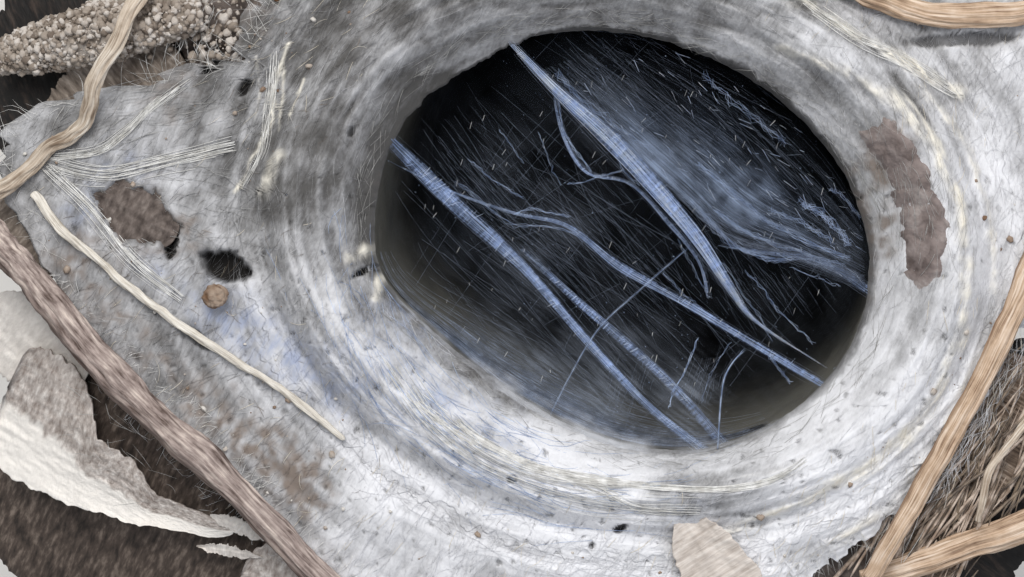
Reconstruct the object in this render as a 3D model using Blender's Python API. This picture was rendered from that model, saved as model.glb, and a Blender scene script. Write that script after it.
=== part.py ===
"""The silk-lined mouth of a large spider's open burrow, lifted whole at life size.

A felted silk apron, bound into leaf litter, rises to a thick collar. The collar turns in to an oval
throat, and the burrow's silk-and-soil lining goes down from there, leaning back as it sinks, to a
closed end that stands on a small flat. Ribbons and a veil of silk are stretched across the throat.

All sizes are millimetres, and MM turns them into Blender's metres. Plan positions are measured from
the centre of the throat, and heights from its edge, so the whole is hung from one empty there.
"""

import math
from typing import NamedTuple

import bmesh
import bpy
from mathutils import Vector, noise

MM = 0.001
GAP = 0.3

# Height of the throat's edge over the foot, and where the throat stands in plan over the foot.
MOUTH_HEIGHT = 46.0
MOUTH_X = -1.2
MOUTH_Y = -2.0


class Oval(NamedTuple):
    """An ellipse in plan: its half length, half width, and how far it is turned, in degrees."""

    half_long: float
    half_short: float
    turn: float

    def radius(self, angle):
        """Distance from the centre to the ellipse, in the direction of the angle in radians."""
        own = angle - math.radians(self.turn)
        across = self.half_short * math.cos(own)
        along = self.half_long * math.sin(own)
        return self.half_long * self.half_short / math.hypot(across, along)


THROAT = Oval(13.2, 10.2, -20.0)
CREST = Oval(17.0, 13.6, -14.0)
COLLAR_FOOT = Oval(19.0, 15.4, -10.0)
BELLY = Oval(13.6, 12.8, 0.0)
APRON_BASE = Oval(23.0, 20.6, 0.0)

# Places where the throat's edge sags outwards: direction, how far and spread.
THROAT_SAGS = [(-72.0, 1.1, 38.0), (190.0, 0.8, 14.0)]

CREST_HEIGHT = 1.9
LINING_WALL = 1.2
COLLAR_DEPTH = 2.4

# The lining leans by this much in plan at LEAN_DEPTH, and comes back over the foot at its end.
LEAN_X = 3.0
LEAN_Y = 5.0
LEAN_DEPTH = 24.0
END_WALL = 1.6
FOOT_RADIUS = 9.5

# Corners of the apron that are pulled out to the litter: direction, extra reach and spread.
APRON_CORNERS = [
    (172.0, 10.5, 9.0),
    (184.0, 3.8, 7.0),
    (197.0, 6.0, 12.0),
    (216.0, 3.0, 10.0),
    (234.0, 3.2, 12.0),
    (134.0, 2.2, 9.0),
    (112.0, 1.2, 9.0),
    (28.0, 3.0, 16.0),
    (70.0, 1.2, 9.0),
    (-8.0, 2.0, 10.0),
    (-50.0, -1.4, 12.0),
    (-98.0, 1.4, 12.0),
]
APRON_THICK = 1.5
APRON_THIN = 0.7
DROOP_SLOPE = 0.05
DROOP_BEND = 0.018

LEAF_THICK = 0.6
LAYER_GAP = 0.4
RING_STEPS = 48


def smooth(share):
    """Eases from 0 to 1 as the share goes from 0 to 1."""
    share = min(max(share, 0.0), 1.0)
    return share * share * (3.0 - 2.0 * share)


def mix(first, second, share):
    """The value that lies the given share of the way from first to second."""
    return first + (second - first) * share


def ripple(x, y, scale, seed=0.0):
    """Smooth noise from -1 to 1 over the plan, with lumps about one scale across."""
    return noise.noise(Vector((x / scale, y / scale, seed)))


def bulge(angle, bulges):
    """Sum of soft bulges at an angle in radians, each given as direction, size and spread."""
    total = 0.0
    for direction, size, spread in bulges:
        away = (math.degrees(angle) - direction + 180.0) % 360.0 - 180.0
        total += size * math.exp(-((away / spread) ** 2))
    return total


# Shape of the burrow's lining


def throat_radius(angle):
    """Distance from the throat's centre to its edge."""
    return THROAT.radius(angle) + bulge(angle, THROAT_SAGS)


def lining_centre(depth):
    """Plan position of the middle of the lining at a depth under the throat's edge."""
    depth = max(depth, 0.0)
    if depth <= LEAN_DEPTH:
        lean = smooth(depth / LEAN_DEPTH)
        return LEAN_X * lean, LEAN_Y * lean
    back = smooth((depth - LEAN_DEPTH) / (MOUTH_HEIGHT - LEAN_DEPTH))
    return mix(LEAN_X, -MOUTH_X, back), mix(LEAN_Y, -MOUTH_Y, back)


def lining_radius(angle, depth):
    """Inner radius of the lining about its own middle: the throat's oval, filling out to the belly."""
    fill = smooth((depth - 9.0) / 24.0)
    return mix(throat_radius(angle), BELLY.radius(angle), fill)


def lining_point(angle, depth, outward=0.0):
    """A point on the lining's inner face, or that far outside it."""
    centre_x, centre_y = lining_centre(depth)
    radius = lining_radius(angle, depth) + outward
    return (
        centre_x + radius * math.cos(angle),
        centre_y + radius * math.sin(angle),
        -depth,
    )


def crust_point(angle, depth):
    """A point on the lining's outer face, which is lumpy where soil is bound in."""
    x, y, z = lining_point(angle, depth)
    wall = LINING_WALL + 0.45 * noise.noise(Vector((x, y, z)) / 5.0)
    return lining_point(angle, depth, max(wall, 0.8))


# Shape of the apron


def apron_edge(angle):
    """Distance from the throat's centre to the apron's ragged edge."""
    ragged = ripple(7.0 * math.cos(angle), 7.0 * math.sin(angle), 1.0, 4.0)
    return APRON_BASE.radius(angle) + bulge(angle, APRON_CORNERS) + 0.7 * ragged


def apron_slope(x, y):
    """Height of the apron's smooth run, which droops as it goes out from the collar."""
    out = max(math.hypot(x, y) - COLLAR_FOOT.radius(math.atan2(y, x)), 0.0)
    sway = 0.55 * ripple(x, y, 9.0, 2.0) * min(out / 3.0, 1.0)
    return sway - DROOP_SLOPE * out - DROOP_BEND * out * out


def apron_top(x, y):
    """Height of the apron's upper face, with the folds that the silk takes."""
    out = max(math.hypot(x, y) - COLLAR_FOOT.radius(math.atan2(y, x)), 0.0)
    fold = 0.3 * ripple(x, y, 3.2, 7.0) * min(out / 2.0, 1.0)
    return apron_slope(x, y) + max(fold, -0.15)


def apron_bottom(x, y):
    """Height of the apron's lower face."""
    out = max(math.hypot(x, y) - COLLAR_FOOT.radius(math.atan2(y, x)), 0.0)
    return apron_slope(x, y) - mix(APRON_THICK, APRON_THIN, min(out / 8.0, 1.0))


def layer_top(layer, x, y):
    """Height of what a piece lies on: layer 0 is the silk, 1 and 2 the leaves under it."""
    if layer == 0:
        return apron_top(x, y)
    return apron_bottom(x, y) - LAYER_GAP - (layer - 1) * (LEAF_THICK + LAYER_GAP)


# Blender helpers


def clear_scene():
    """Empties the scene."""
    for thing in list(bpy.data.objects):
        bpy.data.objects.remove(thing)


def make_material(name, colour, roughness):
    """A plain Principled material."""
    made = bpy.data.materials.new(name)
    made.use_nodes = True
    shader = made.node_tree.nodes["Principled BSDF"]
    shader.inputs["Base Color"].default_value = (*colour, 1.0)
    shader.inputs["Roughness"].default_value = roughness
    shader.inputs["Metallic"].default_value = 0.0
    return made


def add_object(name, data, finish):
    """Links an object of that data under the mouth's empty."""
    data.materials.append(finish)
    thing = bpy.data.objects.new(name, data)
    PARTS.objects.link(thing)
    thing.parent = MOUTH
    return thing


def finish_mesh(name, shape, finish):
    """Turns a bmesh in millimetres into a named object."""
    bmesh.ops.recalc_face_normals(shape, faces=shape.faces)
    if shape.calc_volume(signed=True) < 0.0:
        bmesh.ops.reverse_faces(shape, faces=shape.faces)
    bmesh.ops.scale(shape, vec=(MM, MM, MM), verts=shape.verts)
    mesh = bpy.data.meshes.new(name)
    shape.to_mesh(mesh)
    shape.free()
    thing = add_object(name, mesh, finish)
    mesh.shade_smooth()
    mesh.set_sharp_from_angle(angle=math.radians(50.0))
    return thing


def slab(name, along, across, place, finish):
    """A closed slab: place(u, v, side) gives each corner, with side 0 above and 1 below."""
    shape = bmesh.new()
    bmesh.ops.create_grid(shape, x_segments=along, y_segments=across, size=0.5)
    bmesh.ops.translate(shape, vec=(0.5, 0.5, 0.0), verts=shape.verts)
    grown = bmesh.ops.extrude_face_region(shape, geom=shape.faces[:], use_keep_orig=True)
    raised = [item for item in grown["geom"] if isinstance(item, bmesh.types.BMVert)]
    bmesh.ops.translate(shape, vec=(0.0, 0.0, 1.0), verts=raised)
    for corner in shape.verts:
        u, v, side = corner.co
        corner.co = place(u, v, round(side))
    return finish_mesh(name, shape, finish)


def ring(name, section, corners, finish, steps=RING_STEPS):
    """A closed ring: section(angle) lists the corners of its cut at that angle."""
    bpy.ops.mesh.primitive_torus_add(
        major_segments=steps, minor_segments=corners, major_radius=2.0, minor_radius=1.0
    )
    source = bpy.context.object
    shape = bmesh.new()
    shape.from_mesh(source.data)
    bpy.data.objects.remove(source)
    cuts = {}
    for corner in shape.verts:
        x, y, z = corner.co
        step = round(math.atan2(y, x) / math.tau * steps) % steps
        index = round(math.atan2(z, math.hypot(x, y) - 2.0) / math.tau * corners) % corners
        if step not in cuts:
            cuts[step] = section(step / steps * math.tau)
        corner.co = cuts[step][index]
    return finish_mesh(name, shape, finish)


def cup(name, levels, place, finish, steps=RING_STEPS):
    """A closed cup from a sphere whose level 0 is its outer pole and last level its inner pole."""
    shape = bmesh.new()
    bmesh.ops.create_uvsphere(shape, u_segments=steps, v_segments=levels, radius=1.0)
    for corner in shape.verts:
        x, y, z = corner.co
        level = round(math.acos(max(-1.0, min(1.0, -z))) / math.pi * levels)
        corner.co = place(math.atan2(y, x), level)
    return finish_mesh(name, shape, finish)


def eased_route(points, steps):
    """A smooth line through the points, as a list of evenly numbered places along it."""
    route = []
    last = len(points) - 1
    for step in range(steps + 1):
        place = step / steps * last
        index = min(int(place), last - 1)
        t = place - index
        before = Vector(points[max(index - 1, 0)])
        start = Vector(points[index])
        end = Vector(points[index + 1])
        after = Vector(points[min(index + 2, last)])
        route.append(
            0.5
            * (
                2.0 * start
                + (end - before) * t
                + (2.0 * before - 5.0 * start + 4.0 * end - after) * t * t
                + (3.0 * start - before - 3.0 * end + after) * t * t * t
            )
        )
    return route


def stem(name, points, radius, finish, layer=0, taper=0.75, steps=18):
    """A round stem lying on a layer: each point is x, y and how far the stem is lifted there."""
    spline_points = []
    for x, y, lift in eased_route(points, steps):
        spline_points.append((x, y, layer_top(layer, x, y) + GAP + radius + lift))
    return round_line(name, spline_points, radius, finish, taper)


def round_line(name, places, radius, finish, taper=1.0):
    """A round bar along the places, thinner at its far end by the taper."""
    line = bpy.data.curves.new(name, "CURVE")
    line.dimensions = "3D"
    line.bevel_depth = radius * MM
    line.bevel_resolution = 2
    line.use_fill_caps = True
    spline = line.splines.new("POLY")
    spline.points.add(len(places) - 1)
    for number, place in enumerate(places):
        spline.points[number].co = (*(Vector(place) * MM), 1.0)
        spline.points[number].radius = mix(1.0, taper, number / (len(places) - 1))
    return add_object(name, line, finish)


# Pieces of silk


def make_apron(finish):
    """The apron, parted by thin cuts into four, each reaching from the collar to the ragged edge."""
    quarters = [
        ("apron_right", -52.0, 42.0, 14),
        ("apron_back", 42.0, 132.0, 14),
        ("apron_left", 132.0, 232.0, 20),
        ("apron_front", 232.0, 308.0, 12),
    ]
    for name, start, end, steps in quarters:
        low, high = math.radians(start), math.radians(end)

        def place(u, v, side, low=low, high=high):
            angle = mix(low, high, u)
            inner = COLLAR_FOOT.radius(angle) + GAP
            radius = mix(inner, apron_edge(angle), v)
            cut = 0.5 * GAP / radius
            angle = mix(low + cut, high - cut, u)
            x, y = radius * math.cos(angle), radius * math.sin(angle)
            return x, y, apron_bottom(x, y) if side else apron_top(x, y)

        slab(name, steps, 7, place, finish)


def collar_section(angle):
    """The collar's cut: up from the throat to the crest, down to its foot, and back underneath."""
    throat = throat_radius(angle)
    crest = CREST.radius(angle)
    foot = COLLAR_FOOT.radius(angle)
    ripples = ripple(3.0 * math.cos(angle), 3.0 * math.sin(angle), 1.0, 9.0)
    height = CREST_HEIGHT + 0.4 * math.sin(2.0 * angle + 0.6) + 0.5 * ripples
    cut = [
        (throat, -COLLAR_DEPTH),
        (throat, -0.9),
        (mix(throat, crest, 0.3), 0.35 * height - 0.2),
        (mix(throat, crest, 0.65), 0.85 * height),
        (crest, height),
        (mix(crest, foot, 0.5), 0.6 * height),
        (foot, 0.0),
        (foot - 0.3, -1.4),
        (throat + LINING_WALL + 0.9, -2.0),
        (throat + LINING_WALL, -COLLAR_DEPTH),
    ]
    centre_x, centre_y = lining_centre(COLLAR_DEPTH)
    placed = []
    for radius, z in cut:
        sunk = smooth(-z / COLLAR_DEPTH) if radius < throat + 2.2 else 0.0
        x = radius * math.cos(angle) + centre_x * sunk
        y = radius * math.sin(angle) + centre_y * sunk
        placed.append((x, y, z))
    return placed


def tube_section(angle, top, bottom, levels):
    """The cut of a length of lining: down its inner face and up its crust."""
    depths = [mix(top, bottom, step / (levels - 1)) for step in range(levels)]
    inner = [lining_point(angle, depth) for depth in depths]
    outer = [crust_point(angle, depth) for depth in reversed(depths)]
    return inner + outer


def make_lining(finish):
    """The collar and three lengths of lining, the last one closed and standing on its foot."""
    ring("collar", collar_section, 10, finish["silk"])
    top = COLLAR_DEPTH + GAP
    lengths = [("lining_upper", top, 14.0), ("lining_middle", 14.0 + GAP, 28.0)]
    for name, start, end in lengths:
        ring(name, lambda a, s=start, e=end: tube_section(a, s, e, 5), 10, finish["crust"])

    rim = 28.0 + GAP
    round_start = 38.0
    outer_depths = [MOUTH_HEIGHT, MOUTH_HEIGHT, 45.0, 42.6, round_start, 33.0, rim]
    outer_shares = [0.0, 1.0, 0.84, 0.95, 1.0, 1.0, 1.0]
    inner_end = MOUTH_HEIGHT - END_WALL
    inner_depths = [rim, 33.0, round_start, 42.0, 43.8, inner_end]
    inner_shares = [1.0, 1.0, 1.0, 0.88, 0.6, 0.0]

    def place(angle, level):
        if level == 0:
            return -MOUTH_X, -MOUTH_Y, -MOUTH_HEIGHT
        if level == 1:
            x = FOOT_RADIUS * math.cos(angle) - MOUTH_X
            y = FOOT_RADIUS * math.sin(angle) - MOUTH_Y
            return x, y, -MOUTH_HEIGHT
        if level < len(outer_depths):
            depth, share = outer_depths[level], outer_shares[level]
            x, y, z = crust_point(angle, depth)
        else:
            number = level - len(outer_depths)
            depth, share = inner_depths[number], inner_shares[number]
            x, y, z = lining_point(angle, depth)
        centre_x, centre_y = lining_centre(depth)
        return mix(centre_x, x, share), mix(centre_y, y, share), z

    levels = len(outer_depths) + len(inner_depths) - 1
    cup("lining_end", levels, place, finish["crust"])


def wall_place(direction, depth, clear):
    """A place that far clear of the throat's wall, in a direction in degrees."""
    return lining_point(math.radians(direction), depth, -clear)


def ribbon(name, places, width, finish, steps=14):
    """A flat ribbon of silk, half a millimetre thick, along a smooth line through the places."""
    route = eased_route(places, steps)
    thick = 0.5

    def place(u, v, side):
        number = round(u * steps)
        ahead = route[min(number + 1, steps)] - route[max(number - 1, 0)]
        sideways = Vector((-ahead.y, ahead.x, 0.0)).normalized()
        spot = route[number] + sideways * (v - 0.5) * width
        return spot + Vector((0.0, 0.0, (0.5 - side) * thick))

    slab(name, steps, 1, place, finish)


def make_ribbons(finish):
    """The ribbons and threads stretched across the throat, each clear of the ones it passes."""
    ribbon(
        "ribbon_left",
        [
            wall_place(158.0, 1.3, 0.72),
            (-9.2, 1.8, -1.6),
            (-5.2, -1.9, -1.9),
            (-1.9, -5.7, -1.9),
            (1.4, -9.2, -1.9),
            wall_place(-69.0, 1.8, 0.75),
        ],
        0.85,
        finish,
    )
    ribbon(
        "ribbon_left_fork",
        [
            (-5.1, -0.9, -2.8),
            (-2.2, -3.8, -2.8),
            (0.2, -5.9, -2.8),
            (2.6, -8.1, -2.7),
            wall_place(-65.0, 2.5, 0.75),
        ],
        0.6,
        finish,
    )
    ribbon(
        "ribbon_middle",
        [
            wall_place(164.0, 3.3, 0.6),
            (-9.2, 2.2, -3.6),
            (-5.75, 1.0, -3.8),
            (-2.9, 0.3, -3.8),
            (-0.2, -1.8, -3.7),
            (3.0, -3.6, -3.3),
            (7.35, -6.2, -2.8),
            wall_place(-38.0, 2.3, 0.6),
        ],
        0.65,
        finish,
        steps=16,
    )
    ribbon(
        "ribbon_right",
        [
            wall_place(122.0, 1.3, 0.65),
            (-3.5, 7.3, -1.5),
            (-0.7, 4.8, -1.8),
            (1.9, 2.0, -2.2),
            (4.0, -0.5, -2.8),
            (5.8, -3.1, -3.9),
            (7.2, -4.8, -4.3),
            wall_place(-36.0, 4.6, 0.6),
        ],
        0.8,
        finish,
        steps=18,
    )
    ribbon(
        "ribbon_right_fork",
        [
            (-3.5, 6.9, -2.5),
            (-3.1, 5.0, -2.8),
            (-1.9, 3.1, -3.0),
            (0.4, 2.5, -3.3),
            (2.5, 0.4, -3.9),
            (4.1, -1.6, -4.4),
            (4.5, -3.1, -4.4),
        ],
        0.55,
        finish,
        steps=16,
    )
    ribbon(
        "ribbon_veil_edge",
        [
            (5.35, -0.9, -3.4),
            (7.4, -1.1, -3.3),
            (10.4, -1.6, -3.1),
            wall_place(-15.0, 2.9, 0.55),
        ],
        0.55,
        finish,
        steps=10,
    )
    ribbon(
        "thread_cross",
        [
            (3.3, -1.0, -1.6),
            (0.5, -3.4, -1.4),
            (-1.6, -5.5, -1.1),
            wall_place(-112.0, 1.0, 0.5),
        ],
        0.5,
        finish,
        steps=10,
    )
    ribbon(
        "thread_fork",
        [
            (6.3, -6.2, -1.8),
            (5.2, -7.7, -1.6),
            wall_place(-67.0, 1.0, 0.6),
        ],
        0.5,
        finish,
        steps=8,
    )


def make_veils(finish):
    """The fan of fine silk right of the main ribbon, and the gauze along the throat's front."""
    lower = eased_route(
        [(-2.2, 7.0, 0), (0.5, 4.9, 0), (3.4, 1.6, 0), (5.4, -0.1, 0), (8.6, -0.3, 0), (11.4, -1.0, 0)], 10
    )
    upper = eased_route(
        [(-1.9, 8.0, 0), (2.0, 7.6, 0), (5.5, 6.4, 0), (8.6, 4.9, 0), (11.4, 2.4, 0)], 10
    )

    def fan(u, v, side):
        number = round(u * 10)
        spot = lower[number].lerp(upper[number], v)
        depth = 1.7 + 1.0 * u + 0.5 * math.sin(math.pi * v) * u + 0.5 * side
        return spot.x, spot.y, -depth

    slab("veil_fan", 10, 4, fan, finish)

    def gauze(u, v, side):
        angle = math.radians(mix(203.0, 286.0, u))
        hang = 1.0 - (2.0 * u - 1.0) ** 2
        clear = GAP + 0.2 + 1.5 * v * mix(0.35, 1.0, hang)
        x, y, z = lining_point(angle, 3.8, -clear)
        return x, y, z - 0.9 * v - 0.5 * side

    slab("veil_front", 12, 2, gauze, finish)


# Litter that the silk binds in


def leaf(name, spot, length, width, heading, layer, finish, tip=0.7, torn=0.0, wedge=0.0):
    """A flat leaf or flake in a layer, pointed by tip, torn at its edge and narrowed by wedge."""
    thick = LEAF_THICK
    turn = math.radians(heading)
    along, across = math.cos(turn), math.sin(turn)

    def place(u, v, side):
        profile = max(1.0 - abs(2.0 * u - 1.0) ** 2.2, 0.0) ** tip
        half = 0.5 * width * mix(0.08, 1.0, profile)
        half *= 1.0 + torn * ripple(9.0 * u, 2.0 * round(v), 1.0, length)
        half *= mix(1.0 + wedge, 1.0 - wedge, u)
        forward = (u - 0.5) * length
        sideways = (2.0 * v - 1.0) * half
        x = spot[0] + forward * along - sideways * across
        y = spot[1] + forward * across + sideways * along
        base = layer_top(layer, x, y)
        if layer == 0:
            base += GAP + thick
        return x, y, base - thick * side

    slab(name, max(6, round(length / 1.6)), max(2, round(width / 2.2)), place, finish)


def make_leaves(finish):
    """Leaves and flakes under the apron and past its edge, and one leaf tip over it."""
    under_silk = [
        ("leaf_back_left", (-26.6, 6.4), 9.0, 6.6, 40.0, 1, "leaf_pale", 0.5, 0.2),
        ("leaf_left", (-23.2, -1.2), 10.0, 5.6, -22.0, 1, "leaf_dark", 0.45, 0.2),
        ("leaf_front_left", (-14.2, -19.4), 12.0, 6.5, -12.0, 1, "bark_pale", 0.5, 0.2),
        ("bark_right", (18.0, -12.2), 14.0, 3.4, 58.0, 1, "bark_brown", 0.3, 0.35),
        ("leaf_right", (24.6, 5.5), 13.0, 6.5, 78.0, 1, "leaf_pale", 0.55, 0.15),
        ("leaf_back", (-6.0, 19.6), 14.0, 6.5, 8.0, 1, "leaf_pale", 0.6, 0.15),
        ("leaf_back_right", (12.5, 18.4), 12.0, 6.0, -28.0, 1, "leaf_dark", 0.55, 0.15),
        ("leaf_front", (3.0, -20.4), 12.0, 5.0, 6.0, 1, "leaf_dark", 0.5, 0.2),
        ("leaf_deep_left", (-25.5, -13.2), 17.0, 11.5, -26.0, 2, "leaf_dark", 0.35, 0.2),
        ("leaf_deep_back_left", (-29.0, 8.4), 11.5, 8.0, 25.0, 2, "leaf_dark", 0.45, 0.2),
        ("leaf_deep_right", (19.6, -12.6), 15.0, 9.0, 52.0, 2, "leaf_dark", 0.4, 0.2),
    ]
    for name, spot, length, width, heading, layer, colour, tip, torn in under_silk:
        leaf(name, spot, length, width, heading, layer, finish[colour], tip, torn)
    leaf("bark_left", (-26.4, -11.8), 14.5, 6.8, -27.0, 1, finish["bark_pale"], 0.2, 0.2, 0.5)
    leaf("leaf_tip_front", (6.2, -19.6), 8.5, 3.6, -58.0, 0, finish["leaf_cream"], 0.8, 0.1)


def make_stems(finish):
    """Stems, twigs and rootlets that lie on the silk or in it."""
    stem(
        "twig_left",
        [(-33.6, 0.4, 0), (-31.2, -2.2, 0), (-26.5, -7.6, 0), (-20.8, -13.2, 0), (-14.6, -19.6, 0)],
        0.95,
        finish["twig"],
        taper=0.9,
    )
    stem(
        "stem_back_left",
        [(-23.4, 14.2, 0.8), (-24.9, 11.4, 1.7), (-26.6, 8.8, 1.5), (-28.3, 5.9, 0.1),
         (-30.4, 4.7, 0.0), (-32.6, 3.4, 0.1), (-34.4, 3.0, 0.2)],
        0.48,
        finish["straw"],
        taper=0.9,
        steps=22,
    )
    stem(
        "rootlet_left",
        [(-29.6, 0.4, 0), (-26.4, -1.7, 0), (-23.6, -4.6, 0), (-19.8, -7.2, 0), (-16.0, -9.6, 0)],
        0.3,
        finish["straw"],
        taper=0.8,
    )
    stem(
        "stem_right",
        [(23.4, 4.6, 0), (21.3, -0.8, 0), (19.6, -4.8, 0), (17.6, -8.9, 0), (14.2, -15.1, 0)],
        0.75,
        finish["straw"],
        taper=0.7,
    )
    stem(
        "stem_front_right",
        [(24.4, -13.6, 0.3), (20.5, -15.4, 0.2), (16.4, -16.8, 0.1), (12.3, -18.2, 0.1)],
        0.9,
        finish["straw"],
        layer=1,
        taper=0.8,
    )
    stem(
        "twig_front_right",
        [(23.4, -6.6, 0.1), (21.6, -9.2, 0.3), (19.9, -11.2, 0.3), (19.0, -13.8, 0.2)],
        0.35,
        finish["twig"],
        steps=12,
    )
    stem(
        "stem_back_right",
        [(8.2, 14.6, 0), (12.1, 12.4, 0), (15.7, 11.1, 0), (20.5, 11.2, 0), (25.6, 12.6, 0)],
        0.7,
        finish["straw"],
        taper=0.8,
    )
    stem(
        "twig_back",
        [(-17.5, 14.2, 0), (-12.0, 16.4, 0), (-5.0, 17.6, 0), (2.0, 18.2, 0)],
        0.6,
        finish["twig"],
    )


def make_lumps(finish):
    """Soil and grains held by the silk: a crumbly ridge, a clay patch in the collar and a grain."""

    def crumb(u, v, side):
        angle = v * math.pi
        arch = math.sin(angle)
        girth = max(math.sin(math.pi * mix(0.06, 0.94, u)), 0.0) ** 0.4
        along = mix(-5.8, 5.8, u)
        across = -1.55 * math.cos(angle) * girth * (1.0 + 0.2 * ripple(along, v, 2.0, 3.0))
        x = -27.6 + along * 0.98 - across * 0.18
        y = 10.3 + along * 0.18 + across * 0.98
        base = layer_top(1, x, y) + GAP
        lift = 1.5 * arch * girth * (1.0 + 0.25 * ripple(along, 4.0 * v, 1.6, 5.0))
        return x, y, base if side else base + 0.5 + lift

    slab("soil_ridge", 12, 4, crumb, finish["clay"])

    def patch(u, v, side):
        angle = math.radians(mix(-13.0, 27.0, u))
        section = collar_section(angle)
        inner, outer = Vector(section[2]), Vector(section[3])
        spot = inner.lerp(outer, mix(0.05, 0.95, v))
        slope = outer - inner
        rise = math.hypot(slope.x, slope.y)
        facing = Vector((-slope.z * math.cos(angle), -slope.z * math.sin(angle), rise))
        facing.normalize()
        swell = 0.35 * math.sin(math.pi * u) * math.sin(math.pi * v)
        lift = GAP + (0.0 if side else 0.5 + swell)
        return spot + facing * lift

    slab("clay_patch", 8, 2, patch, finish["clay"])

    shape = bmesh.new()
    bmesh.ops.create_icosphere(shape, subdivisions=2, radius=0.72)
    grain_x, grain_y = -21.0, -3.4
    centre = Vector((grain_x, grain_y, layer_top(0, grain_x, grain_y) + GAP + 0.55))
    for corner in shape.verts:
        corner.co *= 1.0 + 0.12 * noise.noise(corner.co * 2.0)
        corner.co.z *= 0.8
        corner.co += centre
    finish_mesh("grain_left", shape, finish["grain"])


def make_roots(finish):
    """Fine roots caught in the lining's crust, running down its outside."""
    runs = [
        ("root_front", 250.0, 5.0, 272.0, 38.0, 0.35),
        ("root_right", -22.0, 8.0, -46.0, 34.0, 0.3),
        ("root_back", 112.0, 6.0, 84.0, 39.0, 0.32),
        ("root_left", 188.0, 10.0, 164.0, 30.0, 0.28),
    ]
    for name, start, top, end, bottom, radius in runs:
        places = []
        for step in range(17):
            share = step / 16
            turn = mix(start, end, share) + 5.0 * math.sin(6.0 * share)
            depth = mix(top, bottom, share)
            angle = math.radians(turn)
            x, y, z = crust_point(angle, depth)
            clear = GAP + radius + 0.25
            places.append((x + clear * math.cos(angle), y + clear * math.sin(angle), z))
        round_line(name, places, radius, finish, taper=0.7)


def main():
    """Builds every piece."""
    finish = {
        "silk": make_material("felted silk", (0.56, 0.55, 0.53), 0.85),
        "crust": make_material("silk and soil", (0.27, 0.22, 0.17), 0.95),
        "ribbon": make_material("silk ribbon", (0.62, 0.66, 0.76), 0.45),
        "twig": make_material("weathered twig", (0.33, 0.24, 0.19), 0.8),
        "straw": make_material("dead grass", (0.68, 0.56, 0.42), 0.7),
        "leaf_pale": make_material("pale dead leaf", (0.40, 0.33, 0.27), 0.8),
        "leaf_dark": make_material("dark dead leaf", (0.09, 0.07, 0.055), 0.85),
        "leaf_cream": make_material("bleached leaf", (0.66, 0.58, 0.48), 0.8),
        "bark_pale": make_material("bleached bark", (0.52, 0.48, 0.42), 0.85),
        "bark_brown": make_material("brown bark", (0.30, 0.22, 0.16), 0.85),
        "clay": make_material("dry clay", (0.34, 0.27, 0.21), 0.9),
        "grain": make_material("tan grain", (0.42, 0.30, 0.20), 0.7),
    }
    make_apron(finish["silk"])
    make_lining(finish)
    make_ribbons(finish["ribbon"])
    make_veils(finish["ribbon"])
    make_leaves(finish)
    make_stems(finish)
    make_lumps(finish)
    make_roots(finish["twig"])


clear_scene()
PARTS = bpy.data.collections.new("spider_burrow_mouth")
bpy.context.scene.collection.children.link(PARTS)
MOUTH = bpy.data.objects.new("mouth", None)
MOUTH.location = (MOUTH_X * MM, MOUTH_Y * MM, MOUTH_HEIGHT * MM)
PARTS.objects.link(MOUTH)
main()
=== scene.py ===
"""Looks for the silk-lined mouth of a large spider's burrow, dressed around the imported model.

Plan places are millimetres from the middle of the throat and heights are from its edge, as in the
part's own source. A finished mesh is turned into the frame's metres and hung at the mouth's place.
"""

import logging
import math
from collections.abc import Callable, Sequence
from dataclasses import dataclass, field
from enum import Enum

import bmesh
import bpy
import numpy as np
from mathutils import Matrix, noise


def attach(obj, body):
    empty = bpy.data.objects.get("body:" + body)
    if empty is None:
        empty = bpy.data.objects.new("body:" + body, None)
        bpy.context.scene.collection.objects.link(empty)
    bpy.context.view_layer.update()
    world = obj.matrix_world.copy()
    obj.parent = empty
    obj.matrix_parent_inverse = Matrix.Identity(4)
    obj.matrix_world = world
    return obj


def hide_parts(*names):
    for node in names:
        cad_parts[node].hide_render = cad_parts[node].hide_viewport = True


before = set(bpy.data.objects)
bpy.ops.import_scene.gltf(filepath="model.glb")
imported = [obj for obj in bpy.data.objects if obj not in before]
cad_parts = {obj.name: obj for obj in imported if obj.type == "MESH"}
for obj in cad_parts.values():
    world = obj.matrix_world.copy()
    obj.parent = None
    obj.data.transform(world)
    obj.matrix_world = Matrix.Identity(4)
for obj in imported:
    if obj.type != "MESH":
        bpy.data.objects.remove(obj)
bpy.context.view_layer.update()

Array = np.ndarray
Layers = dict[str, Array]
Moulded = tuple[Array, Layers]
Mould = Callable[[Array, Array, Array], Moulded]
Place = tuple[float, float, float]
Chance = np.random.Generator
Shape = bmesh.types.BMesh
Piece = bpy.types.Object
Material = bpy.types.Material
Tree = bpy.types.NodeTree
Socket = bpy.types.NodeSocket
log = logging.getLogger("burrow")

# Metres a millimetre, the mouth's place in the frame, and in millimetres how near points are welded
MM = 0.001
MOUTH = np.array([-1.2, -2.0, 46.0])
WELD = 0.0005
# Share of the map for baking that each thread takes
BAKE_PATCH = 0.003
BODY = "root"
SEED = 20240611


# Shape that the solids and the looks share


def smooth(share: Array) -> Array:
    """Eases from 0 to 1 as the share goes from 0 to 1."""
    share = np.clip(share, 0.0, 1.0)
    return share * share * (3.0 - 2.0 * share)


def mix(first: Array, second: Array, share: Array) -> Array:
    """The value that lies the given share of the way from first to second."""
    return first + (second - first) * share


def bell(distance: Array, width: float) -> Array:
    """1 at no distance, falling softly to nothing past the width."""
    return np.exp(-((distance / width) ** 2))


def columns(*values: Array) -> Array:
    """The values side by side, each stretched to the longest."""
    return np.stack(np.broadcast_arrays(*values), axis=-1).astype(float)


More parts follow.
